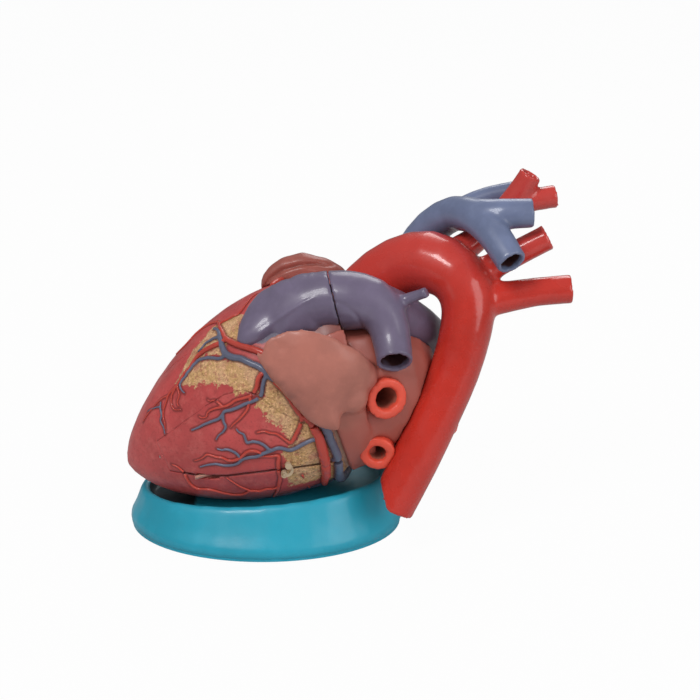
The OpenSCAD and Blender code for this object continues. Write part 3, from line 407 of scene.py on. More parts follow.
def mark_creases(obj, rounds=3):
    """Stores how hollow (positive) or ridged (negative) the surface is at each vertex, per mm."""
    mesh = obj.data
    co, normals, edges = points_of(mesh), normals_of(mesh), edges_of(mesh)
    count = np.maximum(1, np.bincount(edges.ravel(), minlength=len(co)))
    near = np.stack([np.bincount(edges[:, 0], co[edges[:, 1], k], len(co))
                     + np.bincount(edges[:, 1], co[edges[:, 0], k], len(co)) for k in range(3)], 1)
    hollow = np.einsum("ij,ij->i", near / count[:, None] - co, normals)
    length = np.linalg.norm(co[edges[:, 0]] - co[edges[:, 1]], axis=1).mean()
    store(mesh, "crease", averaged(np.clip(hollow * 2 / length**2, -2, 2), edges, rounds))


def mark_inside(obj, reach):
    """Stores how much of what each vertex faces is its own piece, no further than reach in mm."""
    mesh = obj.data
    tree = surface_tree(obj)
    rays = [(0.0, 0.0)] + [(35, 72 * k) for k in range(5)] + [(66, 60 * k + 20) for k in range(6)]
    rays = [(math.cos(math.radians(t)), math.sin(math.radians(t)) * math.cos(math.radians(f)),
             math.sin(math.radians(t)) * math.sin(math.radians(f))) for t, f in rays]
    found = np.zeros(len(mesh.vertices))
    for i, (v, n) in enumerate(zip(mesh.vertices, mesh.vertex_normals)):
        normal = n.vector
        side = normal.orthogonal().normalized()
        across = normal.cross(side)
        start = v.co + normal * 0.0006
        hits = 0
        for a, b, c in rays:
            if tree.ray_cast(start, normal * a + side * b + across * c, reach * MM)[0] is not None:
                hits += 1
        found[i] = hits / len(rays)
    store(mesh, "inside", averaged(found, edges_of(mesh), 2))


def surface_tree(obj):
    """A search tree over a mesh's faces."""
    return BVHTree.FromPolygons([v.co for v in obj.data.vertices], [p.vertices for p in obj.data.polygons])


def copied(nodes):
    """A bmesh with the merged meshes of CAD nodes."""
    shape = bmesh.new()
    for node in nodes:
        shape.from_mesh(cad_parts[node].data)
    bmesh.ops.remove_doubles(shape, verts=shape.verts, dist=1e-6)
    return shape


def refined(name, node, size, coarse):
    """A copy of a CAD node, its edges split down to size near the heart surface and to coarse elsewhere."""
    shape = copied([node])
    bmesh.ops.triangulate(shape, faces=shape.faces)
    for _ in range(9):
        co = np.array([v.co for v in shape.verts]) / MM
        near = np.abs(heart_place(co)[3]) < 2.2
        shape.verts.index_update()
        long = []
        for edge in shape.edges:
            a, b = edge.verts
            limit = size if near[a.index] and near[b.index] else coarse
            if edge.calc_length() > limit * MM:
                long.append(edge)
        if not long:
            break
        bmesh.ops.subdivide_edges(shape, edges=long, cuts=1)
        bmesh.ops.triangulate(shape, faces=[f for f in shape.faces if len(f.verts) > 3])
    return added(name, shape)


def slab(s_range, angle_range, out, thickness, steps=(14, 24)):
    """A bmesh slab on the heart surface between two distances from the apex and two angles."""
    shape = bmesh.new()
    bmesh.ops.create_grid(shape, x_segments=steps[0], y_segments=steps[1], size=0.5)
    for v in shape.verts:
        s = s_range[0] + (v.co.x + 0.5) * (s_range[1] - s_range[0])
        angle = angle_range[0] + (v.co.y + 0.5) * (angle_range[1] - angle_range[0])
        v.co = Vector(heart_point(s, angle, out) * MM)
    bmesh.ops.recalc_face_normals(shape, faces=shape.faces)
    bmesh.ops.solidify(shape, geom=shape.faces[:], thickness=thickness * MM)
    bmesh.ops.recalc_face_normals(shape, faces=shape.faces)
    return shape


def ball(centre, axes, radii):
    """A bmesh ellipsoid with its three axes and radii in mm."""
    shape = bmesh.new()
    bmesh.ops.create_icosphere(shape, subdivisions=4, radius=1)
    turn = np.array(axes, float).T * np.array(radii, float)
    for v in shape.verts:
        v.co = Vector((np.array(centre, float) + turn @ np.array(v.co)) * MM)
    return shape


def joined(shape, extra):
    """Adds the geometry of another bmesh, which is freed."""
    mesh = bpy.data.meshes.new("extra")
    extra.to_mesh(mesh)
    extra.free()
    shape.from_mesh(mesh)
    bpy.data.meshes.remove(mesh)


def moulded(name, nodes, body, voxel=1.4, rounds=30, keep=60.0, fade=(1.0, 5.0), extra=(), also=()):
    """A closed, rounded copy of CAD nodes, on which outer edges sharper than keep stay crisp.

    The bmeshes in extra are joined to it, and it stands for the nodes in also too."""
    shape = copied(nodes)
    crisp = []
    for edge in shape.edges:
        if len(edge.link_faces) == 2 and edge.calc_face_angle_signed(0) > math.radians(keep):
            a, b = (v.co.copy() for v in edge.verts)
            steps = max(1, round((b - a).length / MM))
            crisp += [a.lerp(b, (i + 0.5) / steps) for i in range(steps)]
    for other in extra:
        joined(shape, other)
    obj = added(name, shape)
    skin = obj.modifiers.new("Skin", "REMESH")
    skin.mode = "VOXEL"
    skin.voxel_size = voxel * MM
    settle(obj)
    tree = KDTree(len(crisp) + 1)
    tree.insert(Vector((9, 9, 9)), len(crisp))
    for i, p in enumerate(crisp):
        tree.insert(p, i)
    tree.balance()
    soft = obj.vertex_groups.new(name="Soft")
    for v in obj.data.vertices:
        t = min(1, max(0, (tree.find(v.co)[2] / MM - fade[0]) / (fade[1] - fade[0])))
        soft.add([v.index], t * t * (3 - 2 * t), "REPLACE")
    for group, times in (("Soft", rounds), ("", 4)):
        smooth = obj.modifiers.new("Rounding", "SMOOTH")
        smooth.factor = 0.5
        smooth.iterations = times
        smooth.vertex_group = group
    settle(obj)
    obj.vertex_groups.clear()
    return dressed(obj, [*nodes, *also], body)


def clear_of_heart(obj, gap):
    """Pushes what lies just inside the ventricles out to a gap above their surface."""
    mesh = obj.data
    co = points_of(mesh)
    s, angle, _, depth = heart_place(co)
    sunk = (depth + gap > 0) & (depth < 8) & (s > 20) & (s < LENGTH - 0.5)
    move_points(mesh, np.where(sunk[:, None], heart_point(s, angle, gap), co))


def rooted(obj, reach, depth_in):
    """Sinks what lies on the ventricles into them, so that no open joint shows there."""
    mesh = obj.data
    co = points_of(mesh)
    s, angle, _, depth = heart_place(co)
    near = np.clip((depth + reach) / reach, 0, 1) * (s < LENGTH - 2)
    out = heart_point(s, angle, 1.0) - heart_point(s, angle, 0.0)
    move_points(mesh, co - out * (near * depth_in)[:, None])


def fit_outline(obj, centre, outline, least=0.25):
    """Stretches a piece about a point of the picture until its outline there follows a line of pixels."""
    mesh = obj.data
    co = points_of(mesh)
    u, v, _ = in_picture(co)
    du, dv = u - centre[0], v - centre[1]
    turn, far = np.degrees(np.arctan2(dv, du)) % 360, np.hypot(du, dv)
    bins = 120
    place = turn / 360 * bins
    edge = np.zeros(bins)
    np.maximum.at(edge, np.floor(place).astype(int) % bins, far)
    edge = np.maximum(edge, np.maximum(np.roll(edge, 1), np.roll(edge, -1)) * 0.97)
    for _ in range(2):
        edge = (np.roll(edge, 1) + edge * 2 + np.roll(edge, -1)) / 4
    line = np.array(outline, float) - np.array(centre)
    angles = np.unwrap(np.arctan2(line[:, 1], line[:, 0]))
    lengths = np.hypot(line[:, 0], line[:, 1])
    if angles[-1] < angles[0]:
        angles, lengths = angles[::-1], lengths[::-1]
    middles = (np.arange(bins) + 0.5) / bins * 2 * math.pi
    wanted, weight = edge.copy(), np.zeros(bins)
    for i, m in enumerate(middles):
        for lap in (-2, -1, 0, 1, 2):
            a = m + lap * 2 * math.pi
            if angles[0] <= a <= angles[-1]:
                wanted[i] = np.interp(a, angles, lengths)
                weight[i] = min(1, (a - angles[0]) / 0.2, (angles[-1] - a) / 0.2)
    ratio = 1 + (wanted / np.maximum(edge, 1) - 1) * weight
    back = np.concatenate([ratio, ratio[:1]])
    rim = np.concatenate([edge, edge[:1]])
    k = (place - 0.5) % bins
    stretch, reach = np.interp(k, np.arange(bins + 1), back), np.interp(k, np.arange(bins + 1), rim)
    t = np.clip(far / np.maximum(reach, 1), 0, 1)
    t = np.clip((t - least) / (1 - least), 0, 1)
    share = t * t * (3 - 2 * t) * (stretch - 1)
    move_points(mesh, moved_in_picture(co, du * share, dv * share))


def fold(obj, line, depth, width, taper=0.12):
    """Presses a groove, or with a negative depth a ridge, along a line of pixels into the seen side."""
    mesh = obj.data
    co, normals = points_of(mesh), normals_of(mesh)
    u, v, _ = in_picture(co)
    far, place = line_distance(u, v, line)
    facing = np.clip(-(normals @ SIGHT) * 2, 0, 1)
    ends = np.clip(np.minimum(place, 1 - place) / taper, 0, 1)
    share = np.exp(-((far / width) ** 2)) * facing * ends
    move_points(mesh, co - normals * (depth * share)[:, None])


def bmesh_of(obj):
    """A bmesh of an object, which is removed."""
    shape = bmesh.new()
    shape.from_mesh(obj.data)
    bpy.data.objects.remove(obj)
    return shape


def dressed(obj, nodes, body):
    """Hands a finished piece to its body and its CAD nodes."""
    obj.data.shade_smooth()
    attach(obj, body)
    if nodes:
        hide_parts(*nodes)
    return obj


def painted(obj, material):
    obj.data.materials.clear()
    obj.data.materials.append(material)
    return obj


def fine_noise(points, size, seed=0.0):
    """Smooth noise from -1 to 1 at points in mm, with features about size mm wide."""
    shift = Vector((seed, -seed, seed * 0.5))
    return np.array([noise.noise(Vector(p) / size + shift) for p in points])


# ---------------------------------------------------------------- materials


class Paint:
    """A material's nodes, with short calls for those that the paints use."""

    def __init__(self, name):
        self.material = bpy.data.materials.new(name)
        self.material.use_nodes = True
        self.tree = self.material.node_tree
        self.tree.nodes.clear()
        self.output = self.tree.nodes.new("ShaderNodeOutputMaterial")
        self.place = self.tree.nodes.new("ShaderNodeTexCoord").outputs["Object"]

    def put(self, kind, inputs=None, **settings):
        node = self.tree.nodes.new(kind)
        for key, value in settings.items():
            setattr(node, key, value)
        for key, value in (inputs or {}).items():
            if isinstance(value, bpy.types.NodeSocket):
                self.tree.links.new(value, node.inputs[key])
            else:
                node.inputs[key].default_value = value
        return node

    def noise(self, scale, detail=4.0, rough=0.5):
        inputs = {"Vector": self.place, "Scale": scale, "Detail": detail, "Roughness": rough}
        return self.put("ShaderNodeTexNoise", inputs).outputs["Fac"]

    def cells(self, scale, feature="F1"):
        inputs = {"Vector": self.place, "Scale": scale}
        return self.put("ShaderNodeTexVoronoi", inputs, feature=feature).outputs["Distance"]

    def mark(self, name):
        return self.put("ShaderNodeAttribute", attribute_name=name).outputs["Fac"]

    def between(self, value, low, high, start=0.0, end=1.0):
        """Runs smoothly from start to end as value goes from low to high."""
        return self.put("ShaderNodeMapRange", {0: value, 1: low, 2: high, 3: start, 4: end},
                        interpolation_type="SMOOTHSTEP").outputs[0]

    def sum(self, a, b, kind="ADD", clamp=False):
        return self.put("ShaderNodeMath", {0: a, 1: b}, operation=kind, use_clamp=clamp).outputs[0]

    def mix(self, factor, a, b, kind="MIX"):
        return self.put("ShaderNodeMix", {0: factor, 6: a, 7: b}, data_type="RGBA", blend_type=kind,
                        clamp_factor=True).outputs[2]

    def bump(self, height, depth, strength=1.0, normal=None):
        inputs = {"Height": height, "Distance": depth * MM, "Strength": strength}
        if normal:
            inputs["Normal"] = normal
        return self.put("ShaderNodeBump", inputs).outputs[0]

    def finish(self, colour, roughness, normal=None, **constant):
        inputs = {"Base Color": colour, "Roughness": roughness}
        if normal:
            inputs["Normal"] = normal
        inputs.update({key.replace("_", " "): value for key, value in constant.items()})
        surface = self.put("ShaderNodeBsdfPrincipled", inputs)
        self.tree.links.new(surface.outputs[0], self.output.inputs["Surface"])
        return self.material


def shade(colour, share):
    """A colour made lighter (share above 1) or darker."""
    return tuple(min(1.0, c * share) for c in colour[:3]) + (1.0,)


def vinyl(name, colour, dark, roughness, inner_tone_and_shade=None, coat=0.0, grain=0.06, patch=30.0, ridge=0.35,
          painted_light_blend=None):
    """Hand-painted vinyl: clouded colour, painted shade in hollows, painted highlights on ridges and a fine
    uneven skin.

    A blend gives an axis, two places on it in metres and the colour reached at the second; it paints light or
    shade by position."""
    p = Paint(name)
    cloud = p.noise(patch, 5, 0.55)
    tone = p.mix(p.between(cloud, 0.32, 0.7), shade(colour, 0.86), shade(colour, 1.1))
    streak = p.noise(patch * 6, 3, 0.6)
    tone = p.mix(p.between(streak, 0.45, 0.8, 0, 0.35), tone, shade(colour, 1.22))
    # Painted light by position along an axis: lighter or darker towards one side.
    if painted_light_blend:
        axis, start, end, other = painted_light_blend
        way = p.put("ShaderNodeSeparateXYZ", {0: p.place}).outputs[axis]
        way = p.sum(way, p.between(cloud, 0.3, 0.7, -0.004, 0.004))
        tone = p.mix(p.between(way, start, end), tone, other)
    crease = p.mark("crease")
    # Painted shade: darker in the hollows. Painted highlight: lighter on the ridges.
    tone = p.mix(p.between(crease, 0.02, 0.25, 0, 0.75), tone, dark)
    tone = p.mix(p.between(crease, -0.12, -0.6, 0, ridge), tone, shade(colour, 1.35))
    # Inner colour where the surface faces mostly its own piece: the pink lining in the atria and a brown beige
    # in the vein rings, while the dark maroon in the bores of the vessels and the dark inside the stand are
    # painted shade.
    if inner_tone_and_shade:
        tone = p.mix(p.between(p.mark("inside"), 0.5, 0.66), tone, inner_tone_and_shade)
    sheen = p.between(p.noise(90, 3), 0.3, 0.75, roughness - 0.05, roughness + 0.09)
    if inner_tone_and_shade:
        sheen = p.sum(sheen, p.between(p.mark("inside"), 0.5, 0.66, 0, 0.4), "ADD")
    skin = p.bump(p.noise(700, 4, 0.6), grain, 0.55, p.bump(p.noise(110, 3), grain * 4, 0.5))
    gloss = {"Coat_Weight": coat, "Coat_Roughness": 0.1, "Specular_IOR_Level": 0.4}
    return p.finish(tone, sheen, skin, **gloss)


def muscle_tone(p, base, light, cloud, streak):
    """Rose red, clouded, with paler strokes and a darker speckle."""
    tone = p.mix(p.between(cloud, 0.3, 0.72), shade(base, 0.76), shade(base, 1.1))
    tone = p.mix(p.between(streak, 0.45, 0.75, 0, 0.45), tone, light)
    tone = p.mix(p.between(p.noise(60, 5, 0.7), 0.52, 0.72, 0, 0.4), tone, shade(base, 0.62))
    return p.mix(p.between(p.noise(420, 3, 0.7), 0.52, 0.7, 0, 0.42), tone, shade(base, 0.5))


def fat_share(p):
    """How much of each place is fat, with a jagged and waving edge round the mark on the mesh."""
    jag = p.sum(p.sum(p.noise(210, 4, 0.75), 0.5, "SUBTRACT"), 15.0, "MULTIPLY")
    wave = p.sum(p.sum(p.noise(55, 3, 0.6), 0.5, "SUBTRACT"), 7.0, "MULTIPLY")
    return p.between(p.sum(p.sum(p.mark("fat"), jag), wave), -0.35, 0.5)


def fat_tone(p, fat, gold, blush, dark):
    """Beige and golden grains with reddish speckle, brown flecks and pits."""
    tone = p.mix(p.between(p.noise(70, 4), 0.38, 0.62), fat, gold)
    tone = p.mix(p.between(p.noise(520, 3, 0.7), 0.5, 0.66, 0, 0.75), tone, shade(fat, 1.45))
    tone = p.mix(p.between(p.noise(300, 4, 0.7), 0.52, 0.66, 0, 0.7), tone, blush)
    tone = p.mix(p.between(p.noise(95, 4, 0.7), 0.54, 0.68, 0, 0.6), tone, blush)
    tone = p.mix(p.between(p.noise(430, 4, 0.8), 0.57, 0.66, 0, 0.8), tone, dark)
    return p.mix(p.between(p.cells(330, "DISTANCE_TO_EDGE"), 0.06, 0.0, 0, 0.35), tone, dark)


def muscle_paint(colours):
    """Rose-red heart muscle with granular beige fat, the painted marks, painted shade along the lower seam,
    beside the vessels and in the hollows, and a pink lining inside.
    """
    p = Paint("Heart muscle")
    base, strip, band, lining, fat, gold, blush, dark = (
        tuple(value) for value in (colours.muscle, colours.strip, colours.band, colours.lining, colours.fat,
                                   colours.fat_gold, colours.fat_blush, colours.fat_dark))
    cloud, streak = p.noise(20, 5, 0.6), p.noise(110, 4, 0.65)
    fatness = fat_share(p)
    tone = muscle_tone(p, base, tuple(colours.muscle_light), cloud, streak)
    tone = p.mix(fatness, tone, fat_tone(p, fat, gold, blush, dark))
    tone = p.mix(p.mark("band"), tone, p.mix(cloud, band, shade(band, 1.6)))
    foot = p.mix(cloud, shade(colours.pulmonary, 0.5), shade(colours.pulmonary, 0.75))
    tone = p.mix(p.mark("foot"), tone, foot)
    tone = p.mix(p.mark("strip"), tone, p.mix(p.between(streak, 0.4, 0.6), strip, shade(strip, 0.75)))
    # Painted shade: a nearly black line in the gap of the lower seam.
    tone = p.mix(p.between(p.mark("seam"), 0.62, 0.95, 0, 0.9), tone, shade(base, 0.06))
    skin_side = p.mix(p.between(p.noise(45, 4), 0.35, 0.7), lining, shade(lining, 0.7))
    tone = p.mix(p.between(p.mark("inside"), 0.3, 0.7), tone, skin_side)
    # Painted shade: a dark line on the muscle alongside the vessels, less on the cream strip.
    beside = p.mark("beside")
    edge = p.sum(p.between(beside, 1.7, 0.5), p.between(beside, 2.9, 2.95, 1, 0), "MULTIPLY")
    edge = p.sum(edge, p.between(p.mark("strip"), 0, 1, 0.62, 0.1), "MULTIPLY")
    tone = p.mix(edge, tone, shade(base, 0.3))
    # Painted shade in the hollows of the muscle.
    tone = p.mix(p.between(p.mark("crease"), 0.05, 0.4, 0, 0.5), tone, shade(base, 0.35))
    rough = p.sum(p.between(p.noise(70, 3), 0.3, 0.7, 0.36, 0.5), p.sum(fatness, 0.16, "MULTIPLY"))
    granular = p.sum(p.sum(p.noise(480, 3, 0.7), p.cells(330), "SUBTRACT"), fatness, "MULTIPLY")
    skin = p.bump(granular, 1.1, 0.9, p.bump(p.noise(240, 4, 0.6), 0.25, 0.5))
    gloss = {"Specular_IOR_Level": 0.45, "Coat_Weight": 0.12, "Coat_Roughness": 0.3}
    return p.finish(tone, rough, skin, **gloss)


def metal(name, colour, roughness):
    """Plain steel with a fine drawn surface."""
    p = Paint(name)
    scratches = p.noise(900, 3, 0.7)
    tone = p.mix(p.between(scratches, 0.35, 0.7), shade(colour, 0.85), shade(colour, 1.05))
    sheen = p.between(scratches, 0.3, 0.7, roughness, roughness + 0.12)
    return p.finish(tone, sheen, p.bump(scratches, 0.02, 0.4), Metallic=1.0)


def studio_white(name, floor):
    """White for the camera, with the object's shadow, and plain for the light on the object."""
    p = Paint(name)
    rays = p.put("ShaderNodeLightPath")
    seen = p.sum(rays.outputs["Is Camera Ray"], rays.outputs["Is Transmission Ray"], "ADD", True)
    cloth = p.put("ShaderNodeBsdfDiffuse", {"Color": (0.55, 0.55, 0.55, 1)})
    white = p.put("ShaderNodeEmission", {"Color": (1, 1, 1, 1), "Strength": 1.0})
    share = p.sum(seen, floor, "MULTIPLY")
    both = p.put("ShaderNodeMixShader", {0: share, 1: cloth.outputs[0], 2: white.outputs[0]})
    p.tree.links.new(both.outputs[0], p.output.inputs["Surface"])
    return p.material


# Colours that no panel setting gives: the painted highlight on the top of the aorta's arch, the painted shade,
# darker and redder, on the left atrium behind the front leaf of its auricle, the painted shade inside the stand,
# and the two metals
ARCH_HIGHLIGHT = (0.58, 0.055, 0.045, 1)
ATRIUM_SHADE = (0.42, 0.115, 0.088, 1)
STAND_SHADE = (0.008, 0.03, 0.042, 1)
STEEL, NICKEL = (0.62, 0.63, 0.65, 1), (0.7, 0.68, 0.64, 1)
PAINTS = {}


def make_paint(name):
    """A new material from the colours in the panel."""
    c = bpy.context.scene.heart_colours
    if name == "muscle":
        return muscle_paint(c)
    if name in ("steel", "magnet"):
        return metal("Steel", STEEL, 0.28) if name == "steel" else metal("Nickel", NICKEL, 0.16)
    inner_tone_and_shade, lining = tuple(c.inner_tone_and_shade), tuple(c.lining)
    # Painted highlight: the aorta turns lighter and pinker towards the top of its arch.
    arch_highlight = (2, 0.17, 0.24, ARCH_HIGHLIGHT)
    # Painted shade: the pulmonary arteries darken towards the back.
    root = (1, -0.01, 0.02, shade(c.pulmonary, 0.6))
    # Painted shade: the atria turn darker and redder behind the front leaf of the left auricle.
    below = (1, -0.074, -0.064, ATRIUM_SHADE)
    # Each entry: label, colour, share of the colour for the painted shade in hollows, roughness and further
    # settings.
    label, tint, dark, roughness, rest = {
        "artery": ("Coronary artery red", c.artery, 0.35, 0.36, dict(coat=0.2)),
        "vein": ("Coronary vein blue", c.vein, 0.4, 0.38, dict(coat=0.15)),
        "aorta": ("Glossy aorta red", c.aorta, 0.45, 0.27,
                  dict(inner_tone_and_shade=inner_tone_and_shade, coat=0.5, grain=0.05, patch=14.0, painted_light_blend=arch_highlight)),
        "pulmonary": ("Pulmonary violet", c.pulmonary, 0.4, 0.36,
                      dict(inner_tone_and_shade=inner_tone_and_shade, coat=0.25, patch=24.0, painted_light_blend=root)),
        "cava": ("Vena cava slate", c.cava, 0.4, 0.36, dict(inner_tone_and_shade=inner_tone_and_shade, coat=0.25)),
        "atrium": ("Atrium salmon", c.atrium, 0.42, 0.44,
                   dict(inner_tone_and_shade=lining, coat=0.1, grain=0.1, patch=26.0, ridge=0.7, painted_light_blend=below)),
        # Painted shade: the right auricle takes a darker copy of the atria's salmon.
        "auricle": ("Auricle salmon", c.auricle, 0.3, 0.42, dict(coat=0.1, grain=0.1, patch=26.0)),
        "ring": ("Pulmonary vein orange", c.ring, 0.5, 0.4, dict(inner_tone_and_shade=tuple(c.ring_bore), coat=0.1)),
        "valve": ("Valve cream", c.valve, 0.55, 0.45, {}),
        "fitting": ("Cream fitting", c.fitting, 0.5, 0.35, {}),
        "tab": ("Pink cream tongue", c.tab, 0.4, 0.45, {}),
        "stand": ("Stand cyan", c.stand, 0.5, 0.36,
                  dict(inner_tone_and_shade=STAND_SHADE, coat=0.15, grain=0.03, patch=8.0)),
    }[name]
    return vinyl(label, tuple(tint), shade(tint, dark), roughness, **rest)


def paint(name):
    """The material of that name, made once."""
    if name not in PAINTS:
        PAINTS[name] = make_paint(name)
    return PAINTS[name]


# ---------------------------------------------------------------- ventricles


def close_seam(co, angle, depth):
    """Brings the body's lips of the upper seam of the left wall almost up to the wall."""
    d = co - APEX
    x, y = d @ BASE_WAY, d @ FRONT_WAY
    far, place = line_distance(x, y, UPPER_SEAM)
    lips = (far < LIP_REACH) & (depth < 1.2) & (angle > 20) & (angle < 150) & (place < 1)
    step = 0.05
    along_base = line_distance(x + step, y, UPPER_SEAM)[0] - line_distance(x - step, y, UPPER_SEAM)[0]
    along_front = line_distance(x, y + step, UPPER_SEAM)[0] - line_distance(x, y - step, UPPER_SEAM)[0]
    away = (np.outer(along_base, BASE_WAY) + np.outer(along_front, FRONT_WAY)) / (2 * step)
    share = np.where(lips, np.minimum(far, LIP_CLOSING), 0)
    return co - away * share[:, None]


def painted_marks(co, s, angle, depth):
    """Shares of the cream strip, the brown band and the foot of the trunk at each point of a wall."""
    (start, end), (low, high) = STRIP_SPAN, STRIP_ANGLES
    strip = np.clip((s - start) / 0.8, 0, 1) * np.clip((end - s) / 0.8, 0, 1) * (angle > low) * (angle < high)
    low, high = BAND_ANGLES
    band = np.clip((s - BAND_START) / 6, 0, 1)
    band = band * np.clip((angle - low) / 6, 0, 1) * np.clip((high - angle) / 8, 0, 1)
    u, v, _ = in_picture(co)
    foot = np.clip(outline_distance(u, v, TRUNK_FOOT) * 0.8 + 0.5, 0, 1)
    foot = foot * (angle > -30) * (angle < 60) * (depth < 3)
    return strip, band, foot


def sculpt_muscle(obj, split=40.0):
    """Sets the outside on the true heart surface, raises the fat in grains and marks the inside."""
    mesh = obj.data
    co = points_of(mesh)
    s, angle, _, depth = heart_place(co)
    if not obj.name.startswith("left"):
        co = close_seam(co, angle, depth)
        s, angle, _, depth = heart_place(co)
    outer = 1 - np.clip((np.abs(depth) - 0.9) / 0.5, 0, 1)
    outer *= np.clip((s - 3) / 5, 0, 1) * np.clip((LENGTH - 0.6 - s) / 0.6, 0, 1)
    out = heart_point(s, angle, 1.0) - heart_point(s, angle, 0.0)
    outer *= np.einsum("ij,ij->i", normals_of(mesh), out) > -0.5
    snapped = heart_point(s, angle)
    co = co + (snapped - co) * outer[:, None]
    d = co - APEX
    lower, _ = line_distance(d @ BASE_WAY, d @ FRONT_WAY, LOWER_SEAM)
    lower = np.where((angle > 90) & (depth < 2.5), lower, 9.0)
    strip, band, foot = painted_marks(co, s, angle, depth)
    fat = fat_field(s, angle)
    grains = fine_noise(co, 2.4, 2.0) * 0.3 + fine_noise(co, 5.0, 5.0) * 0.28
    ripple = fine_noise(co, 15.0, 9.0) * 0.3 + fine_noise(co, 6.0, 12.0) * 0.1
    raised = np.clip((fat + grains * 8) / 1.8, 0, 1)
    out = heart_point(s, angle, 1.0) - heart_point(s, angle, 0.0)
    lift = outer * (raised * (0.3 + grains) + (1 - raised) * ripple - 0.6 * np.exp(-((lower / 1.2) ** 2)))
    move_points(mesh, co + out * lift[:, None])
    mesh.set_sharp_from_angle(angle=math.radians(split))
    store(mesh, "fat", fat - 30 * np.maximum(np.maximum(strip, band), foot))
    store(mesh, "foot", foot)
    # Mask of the painted shade along the lower seam.
    store(mesh, "seam", np.clip(1 - (lower - 0.6) / 1.9, 0, 1))
    store(mesh, "strip", strip * (depth < 3))
    store(mesh, "band", band * (depth < 3))
    store(mesh, "inside", np.clip((depth - 1.6) / 1.2, 0, 1))
    mark_creases(obj)
    return obj


def make_ventricles():
    sizes = bpy.context.scene.heart_sizes
    fine, coarse = sizes.wall_grain / MM, sizes.lining_grain / MM
    for name, node, body in (("ventricle_body", "ventricle_shell", HEART_BODY),
                             ("left_wall_skin", "left_ventricle_wall", LEFT_BODY),
                             ("right_wall_skin", "right_ventricle_wall", RIGHT_BODY)):
        obj = dressed(refined(name, node, fine, coarse), [node], body)
        painted(sculpt_muscle(obj), paint("muscle"))


# ---------------------------------------------------------------- coronary vessels

VESSELS = []


def rounded_path(path, step):
    """Places (distance, angle, radius) close together on a smooth curve through a path."""
    p = np.array(path, float)
    p = np.vstack([2 * p[0] - p[1], p, 2 * p[-1] - p[-2]])
    out = []
    for i in range(1, len(p) - 2):
        a, b, c, d = p[i - 1:i + 3]
        length = np.linalg.norm(heart_point(*b[:2]) - heart_point(*c[:2]))
        for k in range(max(1, round(length / step))):
            t = k / max(1, round(length / step))
            out.append(0.5 * (2 * b + (c - a) * t + (2 * a - 5 * b + 4 * c - d) * t * t
                              + (3 * b - a - 3 * c + d) * t**3))
    return np.array(out + [p[-2]])


def outline_vessels(walls, places, radii):
    """Stores how far each place of the walls lies beside the nearest vessel, in mm, up to 3."""
    tree = KDTree(len(places))
    for i, place in enumerate(places):
        tree.insert(place, i)
    tree.balance()
    for wall in walls:
        mesh = bpy.data.objects[wall].data
        beside = np.full(len(mesh.vertices), 3.0)
        for i, v in enumerate(mesh.vertices):
            for _, k, far in tree.find_n(v.co, 4):
                beside[i] = min(beside[i], far / MM - radii[k])
        store(mesh, "beside", np.clip(beside, -3, 3))


def make_vessels(paths, name, material, replaced, proud):
    """Sculpted vessels on the ventricles, cut where a seam crosses them, one piece for each body."""
    walls = {HEART_BODY: "ventricle_body", LEFT_BODY: "left_wall_skin", RIGHT_BODY: "right_wall_skin"}
    trees = {body: surface_tree(bpy.data.objects[wall]) for body, wall in walls.items()}
    above = [surface_tree(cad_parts[node]) for node in OVERHANGING]
    curves = {}
    for body in walls:
        curve = bpy.data.curves.new(f"{name}_{body}", "CURVE")
        curve.dimensions = "3D"
        curve.bevel_depth = MM
        curve.bevel_resolution = 3
        curve.use_fill_caps = True
        curves[body] = curve
    for key, path in paths.items():
        raised = 0.5 if key in BASE_VESSELS else proud
        run, owner = [], None
        for s, angle, r in rounded_path(path, 1.0):
            p = Vector(heart_point(s, angle) * MM)
            near = {b: tree.find_nearest(p) for b, tree in trees.items()}
            body = min(near, key=lambda b: near[b][3] + (0 if b == owner else 0.0002))
            hit, normal = near[body][:2]
            place = hit + normal * (raised * r * MM)
            room = min((tree.find_nearest(place, 0.02)[3] or 0.02) for tree in above) / MM
            if body != owner or room < 0.5 * r:
                add_run(curves[owner], run[:-1]) if owner else None
                run = []
            owner = body
            if room >= 0.5 * r:
                run.append((place, min(r, room - 0.2)))
        add_run(curves[owner], run)
    for curve in curves.values():
        for spline in curve.splines:
            VESSELS.extend((Vector(point.co[:3]), point.radius) for point in spline.points)
    for body, curve in curves.items():
        piece = f"{name}_on_{walls[body]}"
        obj = bpy.data.objects.new(piece, curve)
        bpy.context.scene.collection.objects.link(obj)
        bpy.context.view_layer.update()
        mesh = bpy.data.meshes.new_from_object(obj.evaluated_get(bpy.context.evaluated_depsgraph_get()))
        bpy.data.objects.remove(obj)
        if not mesh.vertices:
            continue
        obj = bpy.data.objects.new(piece, mesh)
        bpy.context.scene.collection.objects.link(obj)
        skin = obj.modifiers.new("Skin", "REMESH")
        skin.mode = "VOXEL"
        skin.voxel_size = 0.6 * MM
        smooth = obj.modifiers.new("Rounding", "SMOOTH")
        smooth.factor = 0.5
        smooth.iterations = 4
        settle(obj)
        mark_creases(obj)
        painted(dressed(obj, replaced if body == HEART_BODY else [], body), paint(material))


def add_run(curve, run):
    """Adds a stretch of vessel through (place, radius) pairs to a curve."""
    if len(run) < 4:
        return
    radii = [min(r for _, r in run[max(0, i - 3):i + 4]) for i in range(len(run))]
    radii = [sum(radii[max(0, i - 3):i + 4]) / len(radii[max(0, i - 3):i + 4]) for i in range(len(run))]
    run = [(place, r) for (place, _), r in zip(run, radii)]
    spline = curve.splines.new("POLY")
    spline.points.add(len(run) - 1)
    for point, (place, r) in zip(spline.points, run):
        point.co = (*place, 1)
        point.radius = r


# ---------------------------------------------------------------- upper heart and vessels


